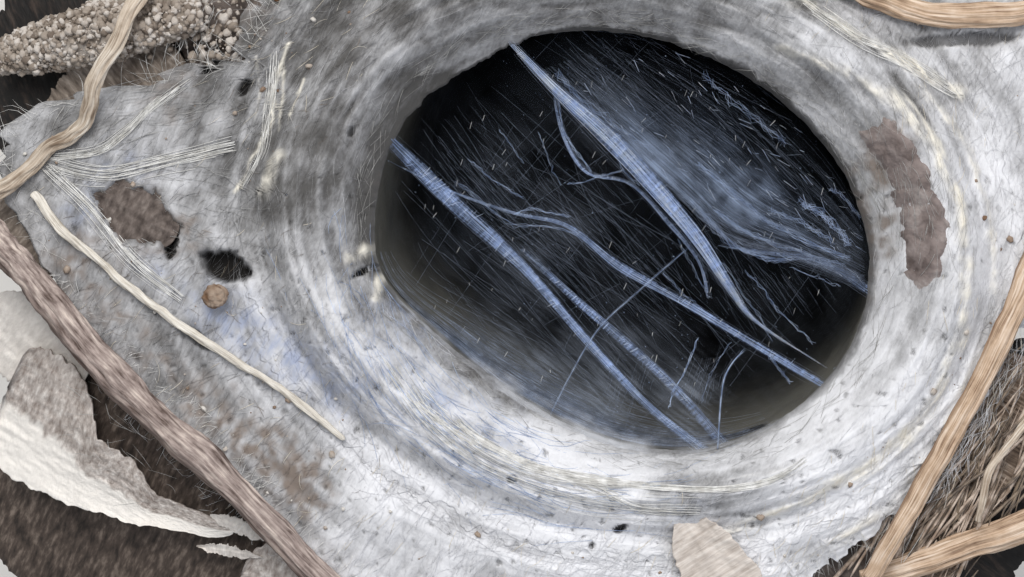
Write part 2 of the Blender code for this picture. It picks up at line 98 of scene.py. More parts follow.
def polar(radius: Array, angle: Array) -> tuple[Array, Array]:
    """Plan place at a distance from the throat's middle, in a direction in radians."""
    return radius * np.cos(angle), radius * np.sin(angle)


def beside_and_above(ahead: Array) -> tuple[Array, Array]:
    """Unit directions level and square to each heading, and square above it."""
    sideways = np.cross(ahead, [0.0, 0.0, 1.0])
    length = np.linalg.norm(sideways, axis=-1, keepdims=True)
    sideways = np.where(length > 0.05, sideways / np.maximum(length, 1e-9), [1.0, 0.0, 0.0])
    return sideways, np.cross(sideways, ahead)


def lumps(places: Array, size: float | Sequence[float], seed: float = 0.0, octaves: int = 1) -> Array:
    """Smooth noise from about -1 to 1.

    Args:
        places: Two or three coordinates a row, in millimetres.
        size: How wide a lump is, or how wide along each axis.
        seed: Which pattern; for two coordinates it is the third.
        octaves: How many finer copies are added.

    Returns:
        One value a row.
    """
    spots = np.asarray(places, float) / size
    if spots.shape[1] == 2:
        spots = columns(spots[:, 0], spots[:, 1], seed)
    else:
        spots = spots + seed
    rows = spots.tolist()
    if octaves == 1:
        return np.array([noise.noise(spot) for spot in rows])
    return np.array([noise.fractal(spot, 0.9, 2.1, octaves) for spot in rows])


@dataclass(frozen=True)
class Oval:
    """An ellipse in plan: its half length, half width and turn in degrees."""

    half_long: float
    half_short: float
    turn: float

    def radius(self, angle: Array) -> Array:
        """Distance from the centre to the ellipse, in the direction of the angle in radians."""
        own = angle - math.radians(self.turn)
        across = self.half_short * np.cos(own)
        along = self.half_long * np.sin(own)
        return self.half_long * self.half_short / np.hypot(across, along)


# The solid's own measures: ovals in plan, bulges as direction, size and spread, and depths
THROAT = Oval(13.2, 10.2, -20.0)
CREST = Oval(17.0, 13.6, -14.0)
COLLAR_FOOT = Oval(19.0, 15.4, -10.0)
BELLY = Oval(13.6, 12.8, 0.0)
APRON_BASE = Oval(23.0, 20.6, 0.0)
THROAT_SAGS = [(-72.0, 1.1, 38.0), (190.0, 0.8, 14.0)]
CREST_HEIGHT = 1.9
LINING_WALL = 1.2
COLLAR_DEPTH = 2.4
LEAN_X = 3.0
LEAN_Y = 5.0
LEAN_DEPTH = 24.0
END_WALL = 1.6
TWIG_REACH = 34.0
STEM_REACH = 19.7
LAYER_GAP = 0.4
LEAF_THICK = 0.6
APRON_CORNERS = [
    (172.0, 10.5, 9.0),
    (184.0, 3.8, 7.0),
    (197.0, 6.0, 12.0),
    (216.0, 3.0, 10.0),
    (234.0, 3.2, 12.0),
    (134.0, 2.2, 9.0),
    (112.0, 1.2, 9.0),
    (28.0, 3.0, 16.0),
    (70.0, 1.2, 9.0),
    (-8.0, 2.0, 10.0),
    (-50.0, -1.4, 12.0),
    (-98.0, 1.4, 12.0),
]


def bulge(angle: Array, bulges: Sequence[tuple[float, float, float]]) -> Array:
    """Sum of soft bulges at an angle in radians, each given as direction, size and spread."""
    total = np.zeros_like(angle)
    for direction, size, spread in bulges:
        away = (np.degrees(angle) - direction + 180.0) % 360.0 - 180.0
        total = total + size * bell(away, spread)
    return total


def throat_radius(angle: Array) -> Array:
    """Distance from the throat's centre to its edge."""
    return THROAT.radius(angle) + bulge(angle, THROAT_SAGS)


def lining_centre(depth: Array) -> tuple[Array, Array]:
    """Plan position of the middle of the lining at a depth."""
    lean = smooth(depth / LEAN_DEPTH)
    back = smooth((depth - LEAN_DEPTH) / (MOUTH[2] - LEAN_DEPTH))
    return mix(LEAN_X * lean, -MOUTH[0], back), mix(LEAN_Y * lean, -MOUTH[1], back)


def lining_point(angle: Array, depth: Array, outward: Array = 0.0) -> Array:
    """Places on the lining's inner face, or that far outside it."""
    centre_x, centre_y = lining_centre(depth)
    fill = smooth((depth - 9.0) / 24.0)
    radius = mix(throat_radius(angle), BELLY.radius(angle), fill) + outward
    return columns(centre_x + radius * np.cos(angle), centre_y + radius * np.sin(angle), -depth)


def crust_wall(angle: Array, depth: Array) -> Array:
    """How thick the lining is with the soil that is bound into it."""
    return np.maximum(LINING_WALL + 0.45 * lumps(lining_point(angle, depth), 5.0), 0.8)


def foot_rounding(depth: Array) -> Array:
    """How far the crust keeps its girth at a depth, as it rounds in to the foot."""
    return np.interp(depth, [38.0, 42.6, 45.0, MOUTH[2]], [1.0, 0.95, 0.84, 0.745])


def past_collar(x: Array, y: Array) -> Array:
    """How far outside the collar's foot a place is, or 0 inside it."""
    return np.maximum(np.hypot(x, y) - COLLAR_FOOT.radius(np.arctan2(y, x)), 0.0)


def apron_edge(angle: Array) -> Array:
    """Distance from the throat's centre to the apron's ragged edge."""
    ragged = lumps(columns(*polar(7.0, angle)), 1.0, 4.0)
    return APRON_BASE.radius(angle) + bulge(angle, APRON_CORNERS) + 0.7 * ragged


def twig_line(angle: Array) -> Array:
    """Distance from the throat's centre to the line under the left twig, past which no silk shows."""
    return TWIG_REACH / np.maximum(-np.cos(angle) - np.sin(angle), 0.1)


def stem_line(angle: Array) -> Array:
    """Distance from the throat's centre to the line under the right stem's lower half."""
    turn = np.arctan2(np.sin(angle), np.cos(angle))
    free = 12.0 * smooth((np.abs(turn + 0.64) - 0.38) / 0.12)
    return STEM_REACH / np.maximum(0.886 * np.cos(angle) - 0.462 * np.sin(angle), 0.1) + free


def apron_slope(x: Array, y: Array) -> Array:
    """Height of the apron's smooth run, which droops as it goes out."""
    out = past_collar(x, y)
    sway = 0.55 * lumps(columns(x, y), 9.0, 2.0) * np.minimum(out / 3.0, 1.0)
    return sway - 0.05 * out - 0.018 * out * out


def apron_top(x: Array, y: Array) -> Array:
    """Height of the apron's upper face, with the folds that the silk takes."""
    fold = 0.3 * lumps(columns(x, y), 3.2, 7.0) * np.minimum(past_collar(x, y) / 2.0, 1.0)
    return apron_slope(x, y) + np.maximum(fold, -0.15)


def apron_bottom(x: Array, y: Array) -> Array:
    """Height of the apron's lower face."""
    return apron_slope(x, y) - mix(1.5, 0.7, np.minimum(past_collar(x, y) / 8.0, 1.0))


def layer_top(layer: int, x: Array, y: Array) -> Array:
    """Height of what a piece lies on: layer 0 is the silk, 1 and 2 the leaves under it."""
    if layer == 0:
        return apron_top(x, y)
    return apron_bottom(x, y) - LAYER_GAP - (layer - 1) * (LEAF_THICK + LAYER_GAP)


def eased_route(points: Sequence[Sequence[float]], shares: Array) -> Array:
    """Places on a smooth line through the points, at shares of its run from 0 to 1."""
    knots = np.asarray(points, float)
    last = len(knots) - 1
    spot = np.clip(shares, 0.0, 1.0) * last
    index = np.minimum(spot.astype(int), last - 1)
    t = (spot - index)[..., None]
    before = knots[np.maximum(index - 1, 0)]
    start, end = knots[index], knots[index + 1]
    after = knots[np.minimum(index + 2, last)]
    return 0.5 * (
        2.0 * start
        + (end - before) * t
        + (2.0 * before - 5.0 * start + 4.0 * end - after) * t * t
        + (3.0 * start - before - 3.0 * end + after) * t * t * t
    )


def wall_place(direction: float, depth: float, clear: float) -> Place:
    """A place that far clear of the throat's wall, in a direction in degrees."""
    spot = lining_point(np.array([math.radians(direction)]), np.array([depth]), -clear)[0]
    return tuple(spot)


# Blender helpers


def linear(code: str) -> tuple[float, float, float, float]:
    """Turns an sRGB hex colour into linear red, green, blue and a solid alpha."""
    raw = [int(code[place : place + 2], 16) / 255.0 for place in (1, 3, 5)]
    made = [part / 12.92 if part <= 0.04045 else ((part + 0.055) / 1.055) ** 2.4 for part in raw]
    return made[0], made[1], made[2], 1.0


def per_mm(size: float) -> float:
    """A noise scale in object coordinates that gives features of that size in millimetres."""
    return 1.0 / (size * MM)


def add(tree: Tree, kind: str, wires: dict | None = None, **settings: object) -> bpy.types.Node:
    """Adds a node.

    Args:
        tree: The material's nodes.
        kind: The node's type after "ShaderNode".
        wires: For each input's name or number, a value or the socket to link.
        **settings: Properties of the node itself.

    Returns:
        The node.
    """
    made = tree.nodes.new("ShaderNode" + kind)
    for name, value in settings.items():
        setattr(made, name, value)
    for socket, value in (wires or {}).items():
        if isinstance(value, Socket):
            tree.links.new(value, made.inputs[socket])
        else:
            made.inputs[socket].default_value = value
    return made


def blended(tree: Tree, share: object, first: object, second: object) -> Socket:
    """The colour that lies the given share of the way from the first to the second."""
    wires = {0: share, 6: first, 7: second}
    return add(tree, "Mix", wires, data_type="RGBA", clamp_factor=True).outputs[2]


def ranged(tree: Tree, value: object, low: float, high: float, top: float = 1.0) -> Socket:
    """The value eased from 0 at low to top at high."""
    wires = {"Value": value, "From Min": low, "From Max": high, "To Min": 0.0, "To Max": top}
    return add(tree, "MapRange", wires, interpolation_type="SMOOTHSTEP").outputs[0]


def grain_noise(
    tree: Tree, where: object, size: float, detail: float = 4.0, rough: float = 0.55
) -> Socket:
    """Noise of that size in millimetres at the coordinates."""
    wires = {"Vector": where, "Scale": per_mm(size), "Detail": detail, "Roughness": rough}
    return add(tree, "TexNoise", wires).outputs["Fac"]


def new_material(name: str) -> tuple[Material, Tree]:
    """A material that has nodes, and those nodes."""
    made = bpy.data.materials.new(name)
    made.use_nodes = True
    return made, made.node_tree


def tinted(tree: Tree, base: str, *steps: tuple) -> Socket:
    """A colour that starts from a base and takes each step's tint where the step's value is high.

    Args:
        tree: The material's nodes.
        base: The first colour in sRGB hex.
        *steps: Each a value, where it starts, where it is full, the tint and maybe its top share.

    Returns:
        The colour.
    """
    colour = linear(base)
    for value, low, high, tint, *top in steps:
        colour = blended(tree, ranged(tree, value, low, high, *top), colour, linear(tint))
    return colour


def finished(tree: Tree, colour: Socket, relief: tuple | None, values: dict[str, float]) -> None:
    """Ends a finish: links its colour and its relief, and sets the shader's other values.

    Args:
        tree: The material's nodes.
        colour: The colour to show.
        relief: The bump's strength, its height in metres and the value that it follows, or None.
        values: The shader's other inputs.
    """
    shader = tree.nodes["Principled BSDF"]
    tree.links.new(colour, shader.inputs["Base Color"])
    if relief:
        bump = add(tree, "Bump", dict(zip(("Strength", "Distance", "Height"), relief)))
        tree.links.new(bump.outputs[0], shader.inputs["Normal"])
    for name, value in values.items():
        shader.inputs[name].default_value = value


def sheet_blank(along: int, across: int) -> Shape:
    """A closed slab whose coordinates are shares: u and v from 0 to 1, and side 0 or 1."""
    shape = bmesh.new()
    bmesh.ops.create_grid(shape, x_segments=along, y_segments=across, size=0.5)
    bmesh.ops.translate(shape, vec=(0.5, 0.5, 0.0), verts=shape.verts)
    grown = bmesh.ops.extrude_face_region(shape, geom=shape.faces[:], use_keep_orig=True)
    raised = [item for item in grown["geom"] if isinstance(item, bmesh.types.BMVert)]
    bmesh.ops.translate(shape, vec=(0.0, 0.0, 1.0), verts=raised)
    return shape


def band_blank(around: int, along: int) -> Shape:
    """An open grid of shares u and v, for a mould that wraps it round and welds it."""
    shape = bmesh.new()
    bmesh.ops.create_grid(shape, x_segments=around, y_segments=along, size=0.5)
    bmesh.ops.translate(shape, vec=(0.5, 0.5, 0.0), verts=shape.verts)
    return shape


def hung(name: str, mesh: bpy.types.Mesh, finishes: Sequence[Material]) -> Piece:
    """Makes an object of a mesh in millimetres, at the mouth's place in the frame."""
    mesh.transform(Matrix.Translation(tuple(MOUTH * MM)) @ Matrix.Scale(MM, 4))
    for finish in finishes:
        mesh.materials.append(finish)
    mesh.shade_smooth()
    made = bpy.data.objects.new(name, mesh)
    bpy.context.scene.collection.objects.link(made)
    return made


def paint(mesh: bpy.types.Mesh, layer: str, values: Array) -> None:
    """Writes a value for each point into a new layer."""
    data = mesh.attributes.new(layer, "FLOAT", "POINT").data
    data.foreach_set("value", values.astype(np.float32).ravel())


def joined(name: str, places: Array, corners: Array, starts: Array) -> bpy.types.Mesh:
    """A mesh of places, of its faces' corners in one row, and of where each face starts in that row."""
    mesh = bpy.data.meshes.new(name)
    mesh.vertices.add(places.size // 3)
    mesh.vertices.foreach_set("co", places.astype(np.float32).ravel())
    mesh.loops.add(len(corners))
    mesh.loops.foreach_set("vertex_index", corners.astype(np.int32))
    mesh.polygons.add(len(starts))
    mesh.polygons.foreach_set("loop_start", starts.astype(np.int32))
    mesh.update(calc_edges=True)
    return mesh


def moulded(
    name: str,
    blank: Shape,
    mould: Mould,
    finishes: Sequence[Material],
    lay: tuple[float, float] = (1.0, 1.0),
    weld: bool = False,
    inner_layer: str = "",
) -> Piece:
    """Moves each point of a blank to its place and closes the shape.

    Args:
        name: The piece's name.
        blank: A mesh whose coordinates are shares.
        mould: Gives places in millimetres and named layers of values, from u, v and side.
        finishes: The piece's materials.
        lay: Size in millimetres that the map named Lay gives to u and v.
        weld: True where the blank's edges meet once it is moulded.
        inner_layer: A layer whose faces over a half take the second material.

    Returns:
        The piece.
    """
    mesh = bpy.data.meshes.new(name)
    blank.to_mesh(mesh)
    blank.free()
    flat = np.empty(len(mesh.vertices) * 3, np.float32)
    mesh.vertices.foreach_get("co", flat)
    u, v, side = flat.reshape(-1, 3).T.astype(float)
    places, layers = mould(u, v, side)
    mesh.vertices.foreach_set("co", places.astype(np.float32).ravel())
    for layer, values in layers.items():
        paint(mesh, layer, np.broadcast_to(values, u.shape))
    corners = np.empty(len(mesh.loops), np.int32)
    mesh.loops.foreach_get("vertex_index", corners)
    spread = columns(u * lay[0], v * lay[1])[corners]
    mesh.uv_layers.new(name="Lay").data.foreach_set("uv", spread.astype(np.float32).ravel())
    shape = bmesh.new()
    shape.from_mesh(mesh)
    if weld:
        bmesh.ops.remove_doubles(shape, verts=shape.verts, dist=WELD)
        bmesh.ops.holes_fill(shape, edges=shape.edges, sides=0)
    bmesh.ops.recalc_face_normals(shape, faces=shape.faces)
    if shape.calc_volume(signed=True) < 0.0:
        bmesh.ops.reverse_faces(shape, faces=shape.faces)
    if inner_layer:
        marks = shape.verts.layers.float[inner_layer]
        for face in shape.faces:
            face.material_index = int(sum(corner[marks] for corner in face.verts) > 0.5 * len(face.verts))
    shape.to_mesh(mesh)
    shape.free()
    return hung(name, mesh, finishes)


def strands(
    name: str,
    paths: Array,
    radii: Array,
    finish: Material,
    sides: int = 3,
    roots: Array | None = None,
    layers: Layers | None = None,
) -> Piece:
    """Makes many thin closed threads as one mesh of joined arrays.

    Args:
        name: The piece's name.
        paths: Threads by places along each by three, in millimetres.
        radii: Threads by places along each, in millimetres.
        finish: The piece's material.
        sides: How many sides a thread has.
        roots: Where each thread's root lies on the map for baking, or None.
        layers: Named values for each thread, or for each place along each.

    Returns:
        The piece.
    """
    count, steps = paths.shape[:2]
    ahead = np.gradient(paths, axis=1)
    ahead /= np.maximum(np.linalg.norm(ahead, axis=2, keepdims=True), 1e-9)
    sideways, lift = beside_and_above(ahead)
    turn = math.tau * np.arange(sides) / sides
    reach = np.cos(turn)[:, None] * sideways[:, :, None] + np.sin(turn)[:, None] * lift[:, :, None]
    places = paths[:, :, None] + radii[:, :, None, None] * reach
    index = np.arange(count * steps * sides).reshape(count, steps, sides)
    beside = np.roll(index, -1, axis=2)
    walls = np.stack([index[:, :-1], index[:, 1:], beside[:, 1:], beside[:, :-1]], -1).reshape(-1, 4)
    caps = np.concatenate([index[:, 0], index[:, -1, ::-1]])
    corners = np.concatenate([walls.ravel(), caps.ravel()])
    starts = np.concatenate([np.arange(len(walls)) * 4, len(walls) * 4 + np.arange(len(caps)) * sides])
    mesh = joined(name, places, corners, starts)
    for layer, values in (layers or {}).items():
        paint(mesh, layer, np.repeat(np.broadcast_to(values, (count, steps)).ravel(), sides))
    if roots is not None:
        near = np.meshgrid(np.arange(steps) / steps, np.arange(sides) / sides, indexing="ij")
        spread = (roots[:, None, None] + BAKE_PATCH * np.stack(near, -1)).reshape(-1, 2)[corners]
        mesh.uv_layers.new(name="OFBake").data.foreach_set("uv", spread.astype(np.float32).ravel())
    return hung(name, mesh, [finish])


def pebbles(
    name: str,
    centres: Array,
    sizes: Array,
    finish: Material,
    rng: Chance,
    levels: int = 2,
) -> Piece:
    """Makes many small rough lumps as one mesh of joined arrays.

    Args:
        name: The piece's name.
        centres: Lumps by three, in millimetres.
        sizes: Each lump's radius in millimetres.
        finish: The piece's material, which may read the layer tint.
        rng: The seeded source of chance.
        levels: How finely the ball that each starts from is divided.

    Returns:
        The piece.
    """
    ball = bmesh.new()
    bmesh.ops.create_icosphere(ball, subdivisions=levels, radius=1.0)
    base = np.array([corner.co[:] for corner in ball.verts])
    faces = np.array([[corner.index for corner in face.verts] for face in ball.faces])
    ball.free()
    count = len(centres)
    axes = np.linalg.qr(rng.normal(size=(count, 3, 3)))[0]
    axes *= np.sign(np.linalg.det(axes))[:, None, None]
    stretch = rng.uniform(0.6, 1.15, (count, 1, 3))
    dents = 1.0 + 0.16 * rng.normal(size=(count, len(base), 1)).clip(-1.5, 1.5)
    spun = np.einsum("kij,kvj->kvi", axes, base * stretch * dents)
    places = centres[:, None] + sizes[:, None, None] * spun
    corners = (faces[None] + len(base) * np.arange(count)[:, None, None]).ravel()
    mesh = joined(name, places, corners, np.arange(len(corners) // 3) * 3)
    paint(mesh, "tint", np.repeat(rng.random(count), len(base)))
    return hung(name, mesh, [finish])


def settle(piece: Piece, slot: str, *nodes: str) -> None:
    """Fixes a piece to the body, hides the solids that it stands for and logs their names."""
    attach(piece, BODY)
    if nodes:
        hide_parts(*nodes)
    faces = piece.data.loop_triangles
    piece.data.calc_loop_triangles()
    log.info("%s: %d triangles, stands for %s", piece.name, len(faces), ", ".join(nodes) or "nothing")


# Finishes


@dataclass(frozen=True)
class FeltedSilk:
    """Spider silk laid down in thousands of crossing passes: matt, cloudy and a little soft.

    The layer tone runs from the thin colour to the thick and holds the felt's own grime along with
    painted light and shade; cream is pale cream on the ridges, partly the silk's own colour and partly a
    painted highlight on their crests;
    blue_sheen is a painted reflection, a bluish sheen; stain_and_shade is where it is yellowed and where
    it is thin over soil, and painted shade on the throat's wall; hole_and_shade is where a hole shows
    dark, partly the litter seen through and partly painted shade, and painted shade on the wall.
    """

    name: str = "felted_spider_silk"
    thin: str = "#545250"
    thick: str = "#ECECEF"
    cream: str = "#F4EEE0"
    blue_sheen: str = "#A6AEC3"
    stain_and_shade: str = "#83776E"
    hole_and_shade: str = "#14100D"
    blotch_mm: float = 1.5
    fibre_mm: float = 0.13
    stroke_mm: tuple[float, float] = (0.16, 0.85)
    fleck_mm: tuple[float, float] = (0.26, 0.6)
    stroke_turn: float = 64.0

    def stroked(self, tree: Tree, where: object, size: tuple[float, float], detail: float) -> Socket:
        """Noise drawn out along the silk's slanting strokes, with its width and length given."""
        turn = (0.0, 0.0, math.radians(self.stroke_turn - 90.0))
        wires = {"Vector": where, "Rotation": turn}
        turned = add(tree, "VectorRotate", wires, rotation_type="EULER_XYZ", invert=True)
        width, length = size
        scale = (per_mm(width), per_mm(length), per_mm(width * 2.0))
        laid = add(tree, "Mapping", {"Vector": turned.outputs[0], "Scale": scale}).outputs[0]
        wires = {"Vector": laid, "Scale": 1.0, "Detail": detail, "Roughness": 0.6, "Distortion": 0.3}
        return add(tree, "TexNoise", wires).outputs["Fac"]

    def build(self) -> Material:
        """Makes the material."""
        made, tree = new_material(self.name)
        where = add(tree, "TexCoord").outputs["Object"]
        layer = {
            name: add(tree, "Attribute", attribute_name=name).outputs["Fac"]
            for name in ("tone", "cream", "blue_sheen", "stain_and_shade", "hole_and_shade")
        }
        blotch = grain_noise(tree, where, self.blotch_mm, 6.0, 0.62)
        fibre = grain_noise(tree, where, self.fibre_mm, 3.0, 0.7)
        stroke = self.stroked(tree, where, self.stroke_mm, 4.0)
        fleck = self.stroked(tree, where, self.fleck_mm, 2.0)
        shares = ((blotch, 0.68), (stroke, 0.36), (fibre, 0.14))
        shade = layer["tone"]
        for source, share in shares:
            wires = {0: source, 1: share, 2: shade}
            shade = add(tree, "Math", wires, operation="MULTIPLY_ADD").outputs[0]
        middle = 0.5 * sum(share for _, share in shares)
        marks = {
            name: add(tree, "Math", {0: layer[name], 1: source}, operation="MULTIPLY").outputs[0]
            for name, source in (("cream", blotch), ("blue_sheen", stroke), ("stain_and_shade", blotch))
        }
        # The colour takes painted light and shade from the layers tone, cream, blue_sheen,
        # stain_and_shade and hole_and_shade, besides the felt's own colours and stains.
        colour = tinted(
            tree,
            self.thin,
            (shade, middle, middle + 1.0, self.thick),
            (marks["cream"], 0.05, 0.5, self.cream),
            (marks["blue_sheen"], 0.0, 0.6, self.blue_sheen),
            (marks["stain_and_shade"], 0.1, 0.6, self.stain_and_shade),
            (fleck, 0.69, 0.82, self.hole_and_shade, 0.45),
        )
        colour = blended(tree, layer["hole_and_shade"], colour, linear(self.hole_and_shade))
        rise = add(tree, "Math", {0: stroke, 1: 0.5, 2: blotch}, operation="MULTIPLY_ADD").outputs[0]
        rise = add(tree, "Math", {0: fibre, 1: 0.3, 2: rise}, operation="MULTIPLY_ADD").outputs[0]
        values = {"Roughness": 0.82, "IOR": 1.45, "Sheen Weight": 0.2, "Sheen Roughness": 0.45}
        finished(tree, colour, (0.6, 0.00014, rise), values)
        return made


@dataclass(frozen=True)
class ThroatSilk:
    """The felt going down the burrow, painted darker with depth to near black: painted shade for the
    light that does not reach down the tube.
    """

    name: str = "throat_silk_in_shade"
    rim: str = "#D2CFC8"
    half_shade: str = "#7A7870"
    deep_shade: str = "#0C0C0C"
    rim_mm: float = 1.0
    half_shade_mm: float = 5.6
    deep_shade_mm: float = 17.0

    def build(self) -> Material:
        """Makes the material."""
        made, tree = new_material(self.name)
        where = add(tree, "TexCoord").outputs["Object"]
        depth = add(tree, "Attribute", attribute_name="depth").outputs["Fac"]
        streak = add(tree, "Attribute", attribute_name="streak").outputs["Fac"]
        blotch = grain_noise(tree, where, 1.3, 5.0, 0.6)
        # Painted shade: the colour darkens with depth, broken up by blotches and streaks.
        wavy = add(tree, "Math", {0: blotch, 1: 3.4, 2: depth}, operation="MULTIPLY_ADD").outputs[0]
        shade = add(tree, "Math", {0: streak, 1: -1.6, 2: wavy}, operation="MULTIPLY_ADD").outputs[0]
        dark = (shade, self.rim_mm, self.deep_shade_mm, self.deep_shade)
        colour = tinted(tree, self.rim, (shade, self.rim_mm, self.half_shade_mm, self.half_shade), dark)
        finished(tree, colour, (0.5, 0.0002, blotch), {"Roughness": 0.9, "Specular IOR Level": 0.15})
        return made


@dataclass(frozen=True)
class BoundSoil:
    """Loam crumbs pressed into silk: matt brown with pale silk showing between the crumbs."""

    name: str = "silk_bound_loam"
    dark: str = "#3A2C21"
    mid: str = "#6C5644"
    pale: str = "#A3937F"
    silk: str = "#B9B2A6"
    crumb_mm: float = 0.9

    def build(self) -> Material:
        """Makes the material."""
        made, tree = new_material(self.name)
        where = add(tree, "TexCoord").outputs["Object"]
        patch = grain_noise(tree, where, 4.5, 4.0)
        crumb = grain_noise(tree, where, self.crumb_mm, 5.0, 0.65)
        speck = grain_noise(tree, where, 0.22, 2.0)
        web = add(tree, "Math", {0: patch, 1: crumb}, operation="ADD").outputs[0]
        colour = tinted(
            tree,
            self.dark,
            (crumb, 0.35, 0.62, self.mid),
            (speck, 0.55, 0.72, self.pale, 0.7),
            (web, 1.02, 1.22, self.silk, 0.75),
        )
        rise = add(tree, "Math", {0: speck, 1: 0.4, 2: crumb}, operation="MULTIPLY_ADD").outputs[0]
        finished(tree, colour, (0.7, 0.00035, rise), {"Roughness": 0.93})
        return made


@dataclass(frozen=True)
class SpunThread:
    """Drawn silk: smooth round threads with a soft shine, uneven in tone along their length."""

    name: str
    low: str
    high: str
    roughness: float = 0.45
    speck_mm: float = 0.6

    def build(self) -> Material:
        """Makes the material."""
        made, tree = new_material(self.name)
        where = add(tree, "TexCoord").outputs["Object"]
        speck = grain_noise(tree, where, self.speck_mm, 3.0, 0.6)
        colour = tinted(tree, self.low, (speck, 0.35, 0.68, self.high))
        finished(tree, colour, None, {"Roughness": self.roughness, "IOR": 1.55, "Sheen Weight": 0.2})
        return made


@dataclass(frozen=True)
class SilkFilm:
    """A film of silk too fine to tell its threads apart, drawn as streaks that let light through.

    A ribbon's film also has rungs, where passes of thread cross it.
    """

    name: str
    colour: str
    strength: float
    streak_mm: tuple[float, float] = (0.09, 2.6)
    rung_mm: tuple[float, float] | None = None

    def drawn_out(self, tree: Tree, where: object, along: float, across: float) -> Socket:
        """Noise on the film's own map, of that length along it and across it."""
        scale = (1.0 / along, 1.0 / across, 1.0)
        laid = add(tree, "Mapping", {"Vector": where, "Scale": scale}).outputs[0]
        return add(tree, "TexNoise", {"Vector": laid, "Scale": 1.0, "Detail": 3.0}).outputs["Fac"]

    def build(self) -> Material:
        """Makes the material."""
        made, tree = new_material(self.name)
        shader = tree.nodes["Principled BSDF"]
        where = add(tree, "UVMap", uv_map="Lay").outputs[0]
        across, along = self.streak_mm
        streak = self.drawn_out(tree, where, along, across)
        cloud = add(tree, "TexNoise", {"Vector": where, "Scale": 0.35, "Detail": 3.0}).outputs["Fac"]
        edge = add(tree, "Attribute", attribute_name="film").outputs["Fac"]
        wires = {0: ranged(tree, streak, 0.3, 0.72), 1: 0.75, 2: 0.25}
        haze = add(tree, "Math", wires, operation="MULTIPLY_ADD").outputs[0]
        wires = {0: haze, 1: ranged(tree, cloud, 0.2, 0.75)}
        body = add(tree, "Math", wires, operation="MULTIPLY").outputs[0]
        faded = add(tree, "Math", {0: body, 1: edge}, operation="MULTIPLY").outputs[0]
        if self.rung_mm:
            rung = ranged(tree, self.drawn_out(tree, where, *self.rung_mm), 0.36, 0.66)
            crossed = add(tree, "Math", {0: rung, 1: 0.8, 2: 0.25}, operation="MULTIPLY_ADD").outputs[0]
            faded = add(tree, "Math", {0: faded, 1: crossed}, operation="MULTIPLY").outputs[0]
        alpha = add(tree, "Math", {0: faded, 1: self.strength}, operation="MULTIPLY").outputs[0]
        tree.links.new(alpha, shader.inputs["Alpha"])
        shader.inputs["Base Color"].default_value = linear(self.colour)
        shader.inputs["Roughness"].default_value = 0.5
        return made


@dataclass(frozen=True)
class PlantFibre:
    """Dead plant stuff with its fibres running along the piece, read from the map Lay.

    The fibres are drawn a little coarser than the real ones, so that they show.
    """

    name: str
    dark: str
    mid: str
    pale: str
    fibre_mm: tuple[float, float] = (0.12, 3.0)
    blotch_mm: float = 1.8
    roughness: float = 0.75
    groove: float = 0.6
    bleach: str = "#F6F1EA"

    def build(self) -> Material:
        """Makes the material."""
        made, tree = new_material(self.name)
        lay = add(tree, "UVMap", uv_map="Lay").outputs[0]
        where = add(tree, "TexCoord").outputs["Object"]
        across, along = self.fibre_mm
        laid = add(tree, "Mapping", {"Vector": lay, "Scale": (1.0 / across, 1.0 / along, 1.0)}).outputs[0]
        wires = {"Vector": laid, "Scale": 1.0, "Detail": 4.0, "Roughness": 0.6}
        fibre = add(tree, "TexNoise", wires).outputs["Fac"]
        blotch = grain_noise(tree, where, self.blotch_mm, 5.0, 0.6)
        under = add(tree, "Attribute", attribute_name="under").outputs["Fac"]
        tone = add(tree, "Math", {0: blotch, 1: 0.6, 2: fibre}, operation="MULTIPLY_ADD").outputs[0]
        lit = (tone, 0.78, 1.06, self.pale)
        colour = tinted(tree, self.dark, (tone, 0.55, 0.86, self.mid), lit)
        # under darkens towards the dark colour: painted shade on a limb's shaded side and on a flake's
        # underside, and thin lines between a flake's veins.
        colour = blended(tree, under, colour, linear(self.dark))
        bleached = add(tree, "Attribute", attribute_name="bleached").outputs["Fac"]
        colour = blended(tree, bleached, colour, linear(self.bleach))
        finished(tree, colour, (self.groove, 0.00015, fibre), {"Roughness": self.roughness})
        return made


@dataclass(frozen=True)
class DryEarth:
    """Dried clay or mineral grains: matt, mottled and cracked, tinted grain by grain."""

    name: str
    dark: str
    mid: str
    pale: str
    mottle_mm: float = 1.1

    def build(self) -> Material:
        """Makes the material."""
        made, tree = new_material(self.name)
        where = add(tree, "TexCoord").outputs["Object"]
        tint = add(tree, "Attribute", attribute_name="tint").outputs["Fac"]
        mottle = grain_noise(tree, where, self.mottle_mm, 6.0, 0.65)
        speck = grain_noise(tree, where, 0.16, 2.0)
        tone = add(tree, "Math", {0: tint, 1: 0.55, 2: mottle}, operation="MULTIPLY_ADD").outputs[0]
        lit = (tone, 0.72, 1.02, self.pale)
        colour = tinted(tree, self.dark, (tone, 0.42, 0.75, self.mid), lit)
        rise = add(tree, "Math", {0: speck, 1: 0.4, 2: mottle}, operation="MULTIPLY_ADD").outputs[0]
        finished(tree, colour, (0.6, 0.0002, rise), {"Roughness": 0.88})
        return made


